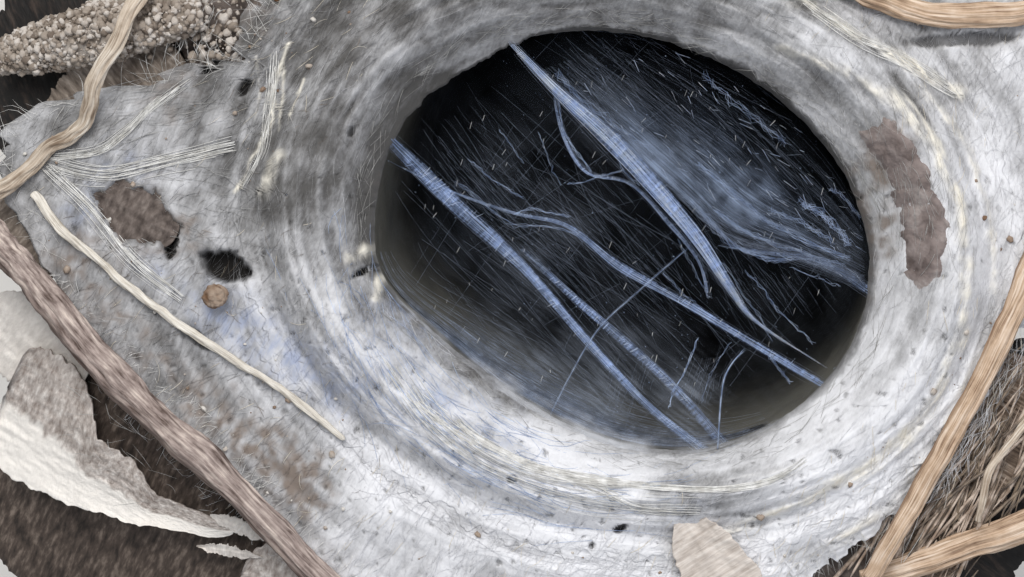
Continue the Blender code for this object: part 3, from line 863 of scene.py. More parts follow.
@dataclass
class Finishes:
    """Every finish that the part uses, made once."""

    felt: Material = field(default_factory=lambda: FeltedSilk().build())
    throat: Material = field(default_factory=lambda: ThroatSilk().build())
    loam: Material = field(default_factory=lambda: BoundSoil().build())

    def __post_init__(self) -> None:
        """Makes the threads, films, plant and earth finishes."""
        # The bluish tints of the blue_sheen, bright and faint threads are painted sky reflection on white
        # silk.
        threads = {
            "pale": ("#D2D0CB", "#F6F5F2"),
            "grey": ("#8A8884", "#C4C3C0"),
            "cream": ("#D9CDB6", "#F4ECDC"),
            "blue_sheen": ("#788FB8", "#CBDDFB"),
            "bright": ("#BCD0F4", "#F0F7FF"),
            "faint": ("#4B5567", "#8C98AE"),
            "brown": ("#4E4034", "#8C7A66"),
            "straw": ("#8F7A68", "#D2C0B0"),
        }
        self.thread = {
            name: SpunThread(f"drawn_silk_{name}", low, high).build()
            for name, (low, high) in threads.items()
        }
        # The bluish tints of the ribbon, veil and haze films are painted sky reflection as well.
        self.ribbon_film = SilkFilm("silk_ribbon_film", "#A6BEEC", 0.95, (0.07, 2.2), (0.13, 0.9)).build()
        self.veil_film = SilkFilm("silk_veil_film", "#8FA0BC", 0.85, (0.1, 4.5)).build()
        self.lip_film = SilkFilm("silk_lip_fluff", "#D5D7DC", 1.0, (0.5, 1.2)).build()
        self.haze_film = SilkFilm("silk_haze_film", "#8F99A9", 0.34, (0.2, 2.2)).build()
        plants = [
            PlantFibre("dry_grass_culm_pale", "#86725F", "#CBBBA8", "#EEE5D8"),
            PlantFibre("dry_grass_culm_tan", "#7A5E48", "#C8AC91", "#E8D5C2"),
            PlantFibre("weathered_twig_bark", "#4C3B33", "#A1918A", "#D9CABE", (0.22, 1.6)),
            PlantFibre("silk_coated_rootlet", "#B0A697", "#E0D9CD", "#F6F1E8", (0.1, 1.6)),
            PlantFibre("dead_leaf_pale", "#51463E", "#82766B", "#AFA398", (0.3, 1.4)),
            PlantFibre("dead_leaf_brown", "#3A302B", "#625751", "#857A73", (0.4, 0.9)),
            PlantFibre("dead_leaf_dark", "#271F1A", "#51453D", "#85776C", (0.3, 1.0)),
            # A near-black leaf for the litter's dark gaps: a painted shadow, darker than any dead leaf.
            PlantFibre("leaf_painted_shadow_black", "#080605", "#15100D", "#3A2F28", (0.3, 1.4)),
            PlantFibre("bleached_leaf_tip", "#A69A90", "#CBC1B8", "#E2DAD2", (0.2, 2.4)),
            PlantFibre(
                "bleached_bark_fibres", "#8A7E76", "#BDB3AC", "#E8E1DA", (0.28, 0.7), 1.2, groove=0.8
            ),
            PlantFibre("brown_bark_fibres", "#3A2B21", "#8A7767", "#C6B5A6", (0.14, 4.0), groove=0.8),
        ]
        self.plant = {plant.name: plant.build() for plant in plants}
        self.clay = DryEarth("dry_pink_grey_clay", "#5C504C", "#857975", "#A69C98").build()
        self.grain = DryEarth("quartz_and_loam_grains", "#6A4A2E", "#A08E7E", "#D6D2CB", 2.2).build()
        self.loam_crumb = DryEarth("dry_loam_crumbs", "#6A5D52", "#A09488", "#CCC4BC", 1.6).build()


# The silk


@dataclass(frozen=True)
class Spot:
    """A soft round place on the silk: where, how far it spreads and how strong it is."""

    x: float
    y: float
    spread: float
    strength: float


def marked(spots: Sequence[Spot], x: Array, y: Array) -> Array:
    """How strong the spots are together at places in plan."""
    return sum(spot.strength * bell(np.hypot(x - spot.x, y - spot.y), spot.spread) for spot in spots)


@dataclass(frozen=True)
class Ridge:
    """A raised fold or laid cord in the felt: its line, half width, rise and creaminess."""

    line: tuple[tuple[float, float], ...]
    width: float
    rise: float
    cream: float

    def reach(self, x: Array, y: Array) -> Array:
        """1 on the ridge's line, falling to nothing past its width."""
        best = np.full(len(x), 1e9)
        for (ax, ay), (bx, by) in zip(self.line, self.line[1:]):
            dx, dy = bx - ax, by - ay
            t = np.clip(((x - ax) * dx + (y - ay) * dy) / (dx * dx + dy * dy), 0.0, 1.0)
            best = np.minimum(best, np.hypot(x - ax - t * dx, y - ay - t * dy))
        return bell(best, self.width)


@dataclass(frozen=True)
class Pocket:
    """A hole or slot where the felt dips over dark litter: middle, half sizes, turn and depth."""

    x: float
    y: float
    half_long: float
    half_short: float
    turn: float
    depth: float

    def reach(self, x: Array, y: Array, ragged: Array) -> Array:
        """1 inside the pocket and 0 outside, with a ragged edge."""
        turn = math.radians(self.turn)
        along = (x - self.x) * math.cos(turn) + (y - self.y) * math.sin(turn)
        across = (y - self.y) * math.cos(turn) - (x - self.x) * math.sin(turn)
        away = np.hypot(along / self.half_long, across / self.half_short)
        return smooth((1.15 - away + 0.35 * ragged) / 0.3)


# How light the felt is at places: darker at the left and back, lighter at the front and right; partly the
# felt's own grime and partly painted light and shade.
TONES = [Spot(x, y, 1.0, tone) for x, y, tone in (
    (-20.6, 10.2, 0.2), (-13.0, 10.4, 0.2), (-7.4, 11.0, 0.4), (0.5, 12.4, 0.35), (6.0, 10.8, 0.4),
    (12.1, 8.9, 0.5), (17.2, 7.4, 0.55), (-17.0, 6.6, 0.3), (-10.9, 6.9, 0.25), (-24.6, 3.4, 0.45),
    (-15.4, 2.2, 0.15), (-20.0, -1.0, 0.4), (-14.0, -3.1, 0.4), (-18.0, -4.6, 0.6), (-22.6, -7.6, 0.35),
    (-12.4, -7.2, 0.6), (-17.3, -11.6, 0.45), (-11.6, -12.6, 0.9), (-4.6, -12.4, 0.95),
    (-1.2, -15.2, 1.0), (4.0, -14.0, 0.45), (9.6, -12.8, 0.85), (-7.0, -16.4, 0.7), (5.7, -17.2, 0.95),
    (13.6, -9.0, 0.8), (15.6, -3.4, 0.55), (14.0, 5.6, 0.45), (18.2, 1.6, 0.8), (18.2, -3.6, 0.75),
    (-3.2, -9.8, 0.9), (-7.8, -9.4, 0.55),
)]
# Spots of painted bluish sheen on the felt, at the front and left of the collar: a painted reflection.
BLUE_SHEENS = [Spot(*row) for row in (
    (-11.6, -5.4, 2.8, 0.4), (-9.6, -9.2, 1.5, 0.65), (-6.5, -10.6, 2.4, 0.35), (-26.0, 2.6, 2.2, 0.45),
    (-28.4, 1.0, 1.3, 0.5), (-24.4, -2.0, 1.2, 0.5), (-21.6, -3.9, 1.6, 0.6), (-19.3, -5.2, 1.7, 0.8),
    (-16.7, -6.8, 1.7, 0.8), (-14.5, -8.4, 1.6, 0.6), (3.0, -14.2, 1.8, 0.35),
)]
STAINS = [Spot(*row) for row in (
    (12.6, 3.7, 1.5, 0.5), (12.8, -0.8, 1.5, 0.5), (12.4, -3.2, 1.4, 0.4), (13.4, 1.0, 2.2, 0.75),
    (13.6, 4.2, 1.6, 0.6), (-24.0, 9.6, 2.6, 0.7), (-19.4, 11.4, 2.4, 0.6), (-25.2, 0.6, 2.6, 0.8),
    (-22.6, -0.2, 1.4, 0.6), (-29.0, -1.8, 1.9, 0.8), (-26.8, -4.2, 1.8, 0.6), (-24.5, -6.5, 1.9, 0.6),
    (-21.8, -8.9, 1.9, 0.85), (-19.4, -11.0, 1.9, 0.85), (-17.2, -11.6, 1.6, 0.6),
    (-16.6, -13.6, 1.8, 0.7), (-23.4, 6.0, 1.8, 0.5), (-16.2, -13.6, 1.6, 0.4), (-12.6, 2.6, 1.4, 0.35),
    (18.4, -8.4, 1.6, 0.5), (12.4, -14.6, 1.2, 0.3),
)]
# The cream along the ridges is partly the silk's own cream colour and partly a painted highlight on their
# crests.
RIDGES = [
    Ridge(((8.0, 9.25), (11.2, 8.0), (14.1, 6.2), (15.8, 4.0), (16.7, 1.5), (17.3, -2.0), (17.2, -5.1)),
        width=0.4, rise=0.3, cream=0.9),
    Ridge(((17.2, -5.1), (15.9, -8.7), (13.1, -11.8), (10.0, -13.4), (4.9, -15.7)), width=0.5, rise=0.28,
        cream=0.8),
    Ridge(((9.0, 11.6), (11.6, 9.8), (14.1, 8.7), (17.2, 6.9)), width=0.42, rise=0.32, cream=1.0),
    Ridge(((14.8, 7.4), (17.4, 4.6), (18.6, 1.0), (18.9, -3.2)), width=0.4, rise=0.22, cream=0.6),
    Ridge(((-17.2, 9.6), (-17.9, 7.8), (-18.1, 5.6), (-19.2, 3.4), (-20.0, 2.0)), width=0.13, rise=0.2,
        cream=1.0),
    Ridge(((-17.6, 8.6), (-17.5, 6.9), (-17.8, 5.0)), width=0.11, rise=0.18, cream=0.9),
    Ridge(((-16.4, 7.6), (-16.6, 6.6), (-17.1, 5.8)), width=0.12, rise=0.22, cream=1.0),
    Ridge(((-18.9, 9.0), (-18.6, 7.2), (-19.0, 5.6)), width=0.12, rise=0.16, cream=0.6),
    Ridge(((-17.6, 3.7), (-18.1, 2.6), (-18.6, 1.8)), width=0.5, rise=0.3, cream=0.9),
    Ridge(((-14.2, -1.4), (-13.5, -1.1), (-12.9, -1.2)), width=0.42, rise=0.4, cream=0.9),
    Ridge(((-12.8, -1.2), (-12.5, -2.2), (-12.9, -3.4)), width=0.34, rise=0.35, cream=0.9),
    Ridge(((-12.4, -5.2), (-10.8, -8.7), (-9.2, -9.8), (-6.9, -11.3), (-4.4, -12.4), (-1.3, -12.9),
        (4.9, -13.1), (8.2, -12.1)), width=0.3, rise=0.22, cream=0.3),
    Ridge(((-14.6, -6.6), (-12.4, -9.4), (-9.0, -12.0), (-5.0, -14.0)), width=0.5, rise=0.22, cream=0.2),
    Ridge(((-17.2, -1.6), (-16.2, -5.0), (-14.2, -8.2)), width=0.5, rise=0.2, cream=0.1),
    Ridge(((-18.8, 6.2), (-17.8, 0.6), (-16.8, -3.6), (-14.8, -7.2)), width=0.6, rise=0.18, cream=0.1),
    Ridge(((10.6, -16.2), (13.4, -14.2), (16.2, -10.8), (18.0, -6.4)), width=0.5, rise=0.24, cream=0.5),
    Ridge(((-10.0, 12.6), (-4.0, 13.2), (3.0, 12.7), (8.6, 11.2)), width=0.6, rise=0.2, cream=0.3),
]
POCKETS = [Pocket(*row) for row in (
    (-25.4, 0.9, 2.2, 1.35, -28.0, 0.55), (-23.3, -0.6, 0.95, 0.3, 75.0, 0.7),
    (-20.6, -1.8, 1.25, 0.75, -20.0, 1.3), (-22.7, 9.6, 1.0, 0.4, 5.0, 1.0),
    (-19.6, 7.3, 0.5, 0.25, 60.0, 0.6), (-21.4, 8.4, 0.5, 0.2, 40.0, 0.7),
    (17.4, 9.8, 2.8, 0.34, 3.0, 0.35), (-13.4, -2.1, 0.75, 0.16, 28.0, 0.9),
    (-5.8, -12.7, 0.24, 0.2, 0.0, 0.6), (-0.25, -15.3, 0.4, 0.2, 30.0, 0.6),
    (-1.7, -16.2, 0.25, 0.16, 60.0, 0.6), (-22.0, -5.6, 0.7, 0.25, -40.0, 0.6),
    (19.6, -8.9, 1.1, 0.35, 60.0, 0.8), (-14.0, 5.0, 0.3, 0.14, 70.0, 0.4),
    (12.8, 4.3, 0.4, 0.2, -30.0, 0.35),
)]
# Heading of the silk's strokes, and how softly the places of TONES blend and how fast they fade
STROKE_TURN = math.radians(64.0)
TONE_SOFT = 3.0
TONE_FALL = 1.6


@dataclass
class Felt:
    """The silk's whole upper face: its height, folds and marks at any place in plan."""

    fold_rise: float = 0.24
    stroke_rise: float = 0.05
    crumple_rise: float = 0.11
    profile: tuple[Array, Array, Array] = field(init=False)

    def __post_init__(self) -> None:
        """Smooths the collar's cut, whose corners are those of the solid."""
        at = np.array([-0.5, 0.0, 0.3, 0.65, 1.0, 1.5, 2.0, 2.6])
        rise = np.array([-0.5, 0.0, 0.35, 0.85, 1.0, 0.6, 0.0, 0.0])
        drop = np.array([-2.1, -0.9, -0.2, 0.0, 0.0, 0.0, 0.0, 0.0])
        fine = np.linspace(-0.5, 2.6, 621)
        soft = np.hanning(61) / np.hanning(61).sum()
        padded = [np.pad(np.interp(fine, at, row), 30, mode="edge") for row in (rise, drop)]
        self.profile = (fine, *(np.convolve(row, soft, "valid") for row in padded))

    def base(self, x: Array, y: Array) -> Array:
        """Height of the smooth felt over the throat's edge, from the collar out to the apron."""
        angle, reach = np.arctan2(y, x), np.hypot(x, y)
        throat, crest = throat_radius(angle), CREST.radius(angle)
        foot = COLLAR_FOOT.radius(angle)
        inner, outer = (reach - throat) / (crest - throat), 1.0 + (reach - crest) / (foot - crest)
        share = np.where(reach < crest, inner, outer)
        ripples = lumps(columns(*polar(3.0, angle)), 1.0, 9.0)
        height = CREST_HEIGHT + 0.4 * np.sin(2.0 * angle + 0.6) + 0.5 * ripples
        fine, rise, drop = self.profile
        return height * np.interp(share, fine, rise) + np.interp(share, fine, drop) + apron_top(x, y)

    def ringed(self, x: Array, y: Array) -> Array:
        """1 where the silk runs round the throat, falling to 0 out on the apron."""
        return 1.0 - smooth((past_collar(x, y) + 0.6 * (y < -9.0) - 0.5) / 4.5)

    def dressed(self, x: Array, y: Array) -> Moulded:
        """The felt with its folds and marks.

        Args:
            x: Places in plan.
            y: Places in plan.

        Returns:
            Heights, and the layers that the felt's finish reads.
        """
        angle, reach = np.arctan2(y, x), np.hypot(x, y)
        off_crest = reach - CREST.radius(angle)
        rings = columns(*polar(15.0, angle), off_crest)
        folds = lumps(rings, (8.0, 8.0, 0.95), 3.0, 3)
        fine = lumps(rings, (2.8, 2.8, 0.24), 11.0, 2)
        along = x * math.cos(STROKE_TURN) + y * math.sin(STROKE_TURN)
        across = y * math.cos(STROKE_TURN) - x * math.sin(STROKE_TURN)
        strokes = lumps(columns(along / 2.4, across / 0.26), 1.0, 5.0, 2)
        crumple = lumps(columns(x, y), 2.0, 21.0, 4)
        holes = lumps(columns(x, y), 0.48, 31.0, 2)
        ragged = lumps(columns(x, y), 0.7, 41.0, 2)
        ringed = self.ringed(x, y)
        lip = 0.35 + 0.65 * smooth((reach - throat_radius(angle)) / 1.5)
        rise = ringed * (self.fold_rise * folds + 0.055 * fine)
        rise = rise + (1.0 - ringed) * (self.stroke_rise * strokes + 0.5 * self.fold_rise * folds)
        rise = (rise + self.crumple_rise * crumple) * lip
        cream = np.zeros(len(x))
        # Ridges rise and lay cream, partly the silk's own colour and partly a painted highlight on the
        # crests.
        for ridge in RIDGES:
            near = ridge.reach(x + 0.25 * crumple, y + 0.25 * folds) * (0.65 + 0.5 * fine + 0.35 * ragged)
            rise = rise + ridge.rise * near
            cream = np.maximum(cream, ridge.cream * near)
        # Pits and pockets dip the felt and are painted dark through hole_and_shade: partly the dark
        # litter seen through them and partly painted shade in the hollow.
        pitted = smooth((holes - 0.56) / 0.14) * (0.4 + 0.6 * (y < 3.0))
        rise = rise - 0.14 * pitted
        hole_and_shade = 0.5 * pitted
        for pocket in POCKETS:
            inside = pocket.reach(x, y, ragged)
            rise = rise - pocket.depth * inside
            hole_and_shade = np.maximum(hole_and_shade, inside * min(pocket.depth + 0.35, 1.0))
        away = np.stack([(x - s.x) ** 2 + (y - s.y) ** 2 for s in TONES])
        weights = 1.0 / (away + TONE_SOFT) ** TONE_FALL
        tone = np.einsum("s,sn->n", [s.strength for s in TONES], weights) / weights.sum(0)
        # The crests of folds, strokes and crumples are painted lighter and their hollows darker: painted
        # shading of the felt's own relief.
        tone = tone + ringed * (0.2 * folds + 0.1 * fine)
        tone = tone + (1.0 - ringed) * (0.07 * strokes + 0.14 * folds)
        tone = tone + 0.14 * crumple
        marks = {}
        # Painted bluish sheen at its spots, a painted reflection, and the felt's stains at theirs.
        for name, spots in (("blue_sheen", BLUE_SHEENS), ("stain_and_shade", STAINS)):
            marks[name] = np.clip(marked(spots, x, y) * (0.8 + 0.8 * ragged), 0.0, 1.0)
        layers = {"tone": tone, "cream": np.clip(cream, 0.0, 1.0), "hole_and_shade": np.clip(hole_and_shade, 0.0, 1.0), **marks}
        return self.base(x, y) + rise, layers


@dataclass
class SilkCollar:
    """The thick felt ring round the throat, feathered out over the apron."""

    felt: Felt
    around: int = 860
    across: int = 100
    wall_share: float = 0.13
    top_share: float = 0.87
    lit_side: float = math.radians(215.0)
    lip_swell_at: float = math.radians(138.0)

    def mould(self, u: Array, v: Array, _side: Array) -> Moulded:
        """Places the collar's skin: up the throat's wall, over the top and back underneath."""
        angle = (u % 1.0) * math.tau
        throat, foot = throat_radius(angle), COLLAR_FOOT.radius(angle)
        lip = 0.2 * lumps(columns(*polar(34.0, angle)), 2.4, 16.0, 4)
        lip = lip - 0.75 * bell(angle - self.lip_swell_at, 0.42)
        feather = foot + 1.3 + 1.0 * lumps(columns(*polar(30, angle)), 2.2, 6.0, 3)
        over = np.clip((v - self.wall_share) / (self.top_share - self.wall_share), 0.0, 1.0)
        radius = mix(throat + lip, feather, over**0.92)
        x, y = polar(radius, angle)
        height, layers = self.felt.dressed(x, y)
        height = height + 0.05 * (1.0 - 0.6 * over)
        up = np.clip(v / self.wall_share, 0.0, 1.0)
        on_wall, under = v < self.wall_share, v > self.top_share
        floor = -COLLAR_DEPTH - 0.1
        wall = mix(floor, height, up)
        centre_x, centre_y = lining_centre(np.maximum(-wall, 0.0))
        at_wall = np.where(on_wall, wall, floor)
        rough = 0.1 * lumps(columns(*polar(throat, angle), at_wall), (1.6, 1.6, 0.5), 8.0, 3)
        hollow = throat + rough * np.cos(0.5 * np.pi * up) - 0.22 * np.sin(np.pi * up) + lip * up * up
        wall_x = centre_x * (1.0 - up) + hollow * np.cos(angle)
        wall_y = centre_y * (1.0 - up) + hollow * np.sin(angle)
        below = np.clip((v - self.top_share) / (1.0 - self.top_share), 0.0, 1.0)
        stops = np.array([0.0, 0.12, 0.5, 0.9, 1.0])
        level = np.zeros_like(angle)
        cut_r = np.stack([feather, feather - 0.15, foot - 0.3, throat + 2.1, throat + rough])
        cut_z = np.stack([height, height - 0.16, level - 1.4, level - 2.0, level + floor])
        piece = np.clip(np.searchsorted(stops, below, side="right") - 1, 0, 3)
        rows = np.arange(len(angle))
        span = (below - stops[piece]) / (stops[piece + 1] - stops[piece])
        low_r = mix(cut_r[piece, rows], cut_r[piece + 1, rows], span)
        low_z = mix(cut_z[piece, rows], cut_z[piece + 1, rows], span)
        x = np.where(on_wall, wall_x, np.where(under, low_r * np.cos(angle), x))
        y = np.where(on_wall, wall_y, np.where(under, low_r * np.sin(angle), y))
        z = np.where(on_wall, wall, np.where(under, low_z, height))
        sunk = np.where(under, smooth((below - 0.5) / 0.5), 0.0)
        foot_x, foot_y = lining_centre(level - floor)
        x, y = x + foot_x * sunk, y + foot_y * sunk
        # Painted shade on the throat's wall: tone darkens down the wall, most on the side away from
        # lit_side, and stain_and_shade and hole_and_shade rise there too; lip_shade darkens the lit
        # side's lip and wall, a painted soft shade where the felt rolls into the throat.
        shade = np.where(on_wall, smooth(-wall / 2.4), 0.0)
        hidden = 0.5 - 0.5 * np.cos(angle - self.lit_side)
        lip_shade = np.where(on_wall, 1.0, 1.0 - smooth((over - 0.01) / 0.13)) * (1.0 - hidden) ** 3
        layers["tone"] = layers["tone"] - (0.2 + 0.7 * hidden) * shade - 0.3 * lip_shade
        layers["stain_and_shade"] = np.clip(layers["stain_and_shade"] + 0.3 * shade, 0.0, 1.0)
        layers["hole_and_shade"] = np.clip(layers["hole_and_shade"] + 0.9 * hidden * hidden * shade, 0.0, 1.0)
        return columns(x, y, z), layers

    def build(self, finishes: Finishes) -> None:
        """Makes the collar and puts it in its node's place."""
        blank = band_blank(self.around, self.across)
        piece = moulded("felt_collar", blank, self.mould, [finishes.felt], weld=True)
        settle(piece, "felted_silk", "collar")


@dataclass
class SilkApron:
    """The felt that spreads over the litter, thin and ragged at its edge."""

    felt: Felt
    around: int = 930
    across: int = 92
    top_share: float = 0.84

    def mould(self, u: Array, v: Array, _side: Array) -> Moulded:
        """Places the apron's skin: out over the top to the edge and back underneath."""
        angle = (u % 1.0) * math.tau
        inner = COLLAR_FOOT.radius(angle) - 0.1
        ring = columns(*polar(26.0, angle))
        frayed = 0.55 * lumps(ring, 1.5, 12.0, 4) - 0.9 * smooth((lumps(ring, 0.9, 14.0, 2) - 0.25) / 0.3)
        edge = np.minimum(apron_edge(angle) + frayed, np.minimum(twig_line(angle), stem_line(angle)))
        out = np.clip(v / self.top_share, 0.0, 1.0)
        back = np.clip((v - self.top_share) / (1.0 - self.top_share), 0.0, 1.0)
        under = v > self.top_share
        radius = np.where(under, mix(edge, inner, back), mix(inner, edge, out))
        x, y = polar(radius, angle)
        top, layers = self.felt.dressed(x, y)
        to_edge = np.maximum(edge - radius, 0.0)
        thick = mix(0.12, np.minimum(apron_top(x, y) - apron_bottom(x, y), 1.5), smooth(to_edge / 2.0))
        hem = -0.25 * (1.0 - smooth(to_edge / 1.2))
        bottom = np.minimum(top, apron_top(x, y)) - thick
        closed = np.where(back >= 1.0, top, bottom)
        z = np.where(under, closed, top) + hem
        layers["tone"] = np.where(under, 0.35, layers["tone"])
        layers["stain_and_shade"] = np.where(under, 0.8, layers["stain_and_shade"])
        return columns(x, y, z), layers

    def build(self, finishes: Finishes) -> None:
        """Makes the apron and puts it in the place of its four nodes."""
        blank = band_blank(self.around, self.across)
        piece = moulded("felt_apron", blank, self.mould, [finishes.felt], weld=True)
        settle(piece, "felted_silk", "apron_left", "apron_right", "apron_back", "apron_front")


@dataclass
class BurrowLining:
    """The closed tube of silk and soil under the collar."""

    around: int = 380
    levels: int = 200
    outer_levels: int = 112
    rim: float = COLLAR_DEPTH + 0.02

    def mould(self, x: Array, y: Array, z: Array) -> Moulded:
        """Places a ball's points: from under the foot up the crust, over the rim and down inside."""
        angle = np.arctan2(y, x)
        level = np.round(np.arccos(np.clip(-z, -1.0, 1.0)) / math.pi * self.levels)
        full = MOUTH[2]
        outside = level <= self.outer_levels
        climb = np.clip((level - 5.0) / (self.outer_levels - 5.0), 0.0, 1.0)
        inner_levels = self.levels - self.outer_levels - 16.0
        sink = np.clip((level - self.outer_levels - 1.0) / inner_levels, 0.0, 1.0)
        floor_share = np.clip((self.levels - level) / 15.0, 0.0, 1.0)
        depth = np.where(outside, mix(full, self.rim, climb), mix(self.rim, full - END_WALL, sink**1.35))
        at_crust = lining_point(angle, depth, crust_wall(angle, depth))
        crumbs = 0.26 * lumps(at_crust, 1.5, 51.0, 3) + 0.12 * np.abs(lumps(at_crust, 0.5, 61.0, 2))
        folds = columns(*polar(12.0, angle), depth)
        streak = lumps(folds, (2.2, 2.2, 3.0), 71.0, 3)
        inward = 0.16 * streak * smooth((depth - self.rim) / 1.0)
        wall = crust_wall(angle, depth) * smooth((depth + 1.2) / 3.0)
        wall = wall + crumbs * smooth((full - depth) / 2.0)
        places = lining_point(angle, depth, np.where(outside, wall, inward + 0.03))
        centre_x, centre_y = lining_centre(depth)
        rounding = foot_rounding(depth)
        inner_round = np.interp(depth, [38.0, 42.0, 43.8, full - END_WALL], [1.0, 0.88, 0.62, 0.35])
        foot = np.clip(level / 5.0, 0.0, 1.0)
        share = np.where(outside, rounding * foot, inner_round * np.where(sink < 1.0, 1.0, floor_share))
        placed = columns(
            mix(centre_x, places[:, 0], share), mix(centre_y, places[:, 1], share), places[:, 2]
        )
        return placed, {"depth": depth, "streak": streak, "inner": (~outside).astype(float)}

    def build(self, finishes: Finishes) -> None:
        """Makes the lining and puts it in the place of its three nodes."""
        ball = bmesh.new()
        bmesh.ops.create_uvsphere(ball, u_segments=self.around, v_segments=self.levels, radius=1.0)
        piece = moulded(
            "burrow_lining", ball, self.mould, [finishes.loam, finishes.throat], inner_layer="inner"
        )
        settle(piece, "soil_bound_silk", "lining_upper", "lining_middle", "lining_end")


# Threads and fibres


def dashes(middle: Array, half: Array) -> Array:
    """Short straight threads of three places each, from their middles and half lengths."""
    return middle[:, None] + np.linspace(-1.0, 1.0, 3)[None, :, None] * half[:, None]


@dataclass(frozen=True)
class SpunRibbon:
    """A ribbon of drawn silk across the throat: threads side by side, a film and strays.

    Swell and glow say how wide and how thick with silk it is at places spread evenly along it,
    and free how far in its threads may start and stop at an end that isn't on the wall.
    """

    node: str
    places: tuple[Place, ...]
    width: float
    threads: int
    strays: int
    swell: tuple[float, ...] = (1.0, 1.0)
    glow: tuple[float, ...] = (1.0, 1.0)
    free: tuple[float, float] = (0.0, 0.0)
    filmed: bool = True
    tone: str = "blue_sheen"
    core_spread: float = 0.2
    stray_spread: float = 0.42
    steps: int = 26

    def along(self, knots: Sequence[float], shares: Array) -> Array:
        """A value that follows the knots, which are spread evenly along the ribbon."""
        return np.interp(shares, np.linspace(0.0, 1.0, len(knots)), knots)

    def frame_at(self, shares: Array) -> tuple[Array, Array, Array]:
        """Places along the ribbon, and the directions ahead and sideways there."""
        route = eased_route(self.places, shares)
        ahead = eased_route(self.places, shares + 0.01) - eased_route(self.places, shares - 0.01)
        ahead /= np.linalg.norm(ahead, axis=-1, keepdims=True)
        sideways = columns(-ahead[..., 1], ahead[..., 0], 0.0)
        return route, ahead, sideways / np.linalg.norm(sideways, axis=-1, keepdims=True)

    def bundle(self, count: int, spread: float, rng: Chance) -> Array:
        """Threads that follow the ribbon, spread about its middle."""
        start = np.abs(rng.normal(0.0, self.free[0], (count, 1)))
        stop = 1.0 - np.abs(rng.normal(0.0, self.free[1], (count, 1)))
        shares = mix(start, stop, np.linspace(0.0, 1.0, self.steps))
        route, _, sideways = self.frame_at(shares)
        reach = self.width * spread
        offset = rng.normal(0.0, 1.0, (count, 1)).clip(-2.2, 2.2) * reach
        phase = rng.uniform(0.0, math.tau, (count, 1))
        beat = rng.uniform(1.0, 3.0, (count, 1))
        sway = 0.2 * reach * np.sin(beat * shares * math.tau + phase)
        drift = rng.normal(0.0, 0.5, (count, 1)) * reach * (shares - 0.5)
        aside = (offset + sway + drift) * self.along(self.swell, shares)
        lift = 0.1 * np.sin(phase + 3.0 * shares) + rng.normal(0.0, 0.05, (count, 1))
        return route + aside[..., None] * sideways + lift[..., None] * np.array([0.0, 0.0, 1.0])

    def ticks(self, count: int, rng: Chance) -> Array:
        """Short threads laid across the ribbon."""
        shares = rng.uniform(0.02, 0.98, count)
        route, ahead, sideways = self.frame_at(shares)
        lean = rng.normal(0.25, 0.2, count)[:, None]
        across = sideways * np.cos(lean) + ahead * np.sin(lean)
        reach = (self.width * self.along(self.swell, shares))[:, None]
        half = rng.uniform(0.12, 0.46, (count, 1)) * reach
        middle = route + sideways * rng.normal(0.0, 0.12, (count, 1)) * reach
        middle[:, 2] += 0.1 + rng.uniform(0.0, 0.1, count)
        return dashes(middle, half * across)

    def film_mould(self, u: Array, v: Array, side: Array) -> Moulded:
        """Places the film's two faces, and fades it towards its edges and free ends."""
        route, _, sideways = self.frame_at(u)
        reach = self.width * self.along(self.swell, u)
        places = route + sideways * ((v - 0.5) * reach)[:, None]
        places[:, 2] += 0.015 - 0.03 * side
        across = np.sin(np.pi * np.clip(v, 0.0, 1.0)) ** 0.7
        ends = smooth(u / (0.02 + 2.0 * self.free[0])) * smooth((1.0 - u) / (0.02 + 2.0 * self.free[1]))
        return places, {"film": across * ends * self.along(self.glow, u)}

    def build(self, finishes: Finishes, rng: Chance) -> None:
        """Makes the threads, which stand for the ribbon's node, and its film."""
        name = self.node.replace("ribbon", "spun_ribbon").replace("thread", "spun_thread")
        for part, count, spread, thin, thick, tone in (
            ("", self.threads, self.core_spread, 0.005, 0.014, self.tone),
            ("_strays", self.strays, self.stray_spread, 0.003, 0.007, "faint"),
        ):
            paths = self.bundle(count, spread, rng)
            beads = 1.0 + 0.45 * rng.uniform(-1.0, 1.0, paths.shape[:2])
            fine = np.clip(self.along(self.swell, np.linspace(0.0, 1.0, self.steps)) / 0.7, 0.4, 1.0)
            radii = rng.uniform(thin, thick, (count, 1)) * beads * fine
            piece = strands(name + part, paths, radii, finishes.thread[tone])
            settle(piece, "silk_ribbon", *(() if part else (self.node,)))
        if self.filmed:
            length = float(np.linalg.norm(np.diff(np.array(self.places), axis=0), axis=1).sum())
            lay = (length, self.width)
            film = moulded(
                name + "_film", sheet_blank(110, 12), self.film_mould, [finishes.ribbon_film], lay
            )
            settle(film, "silk_ribbon")


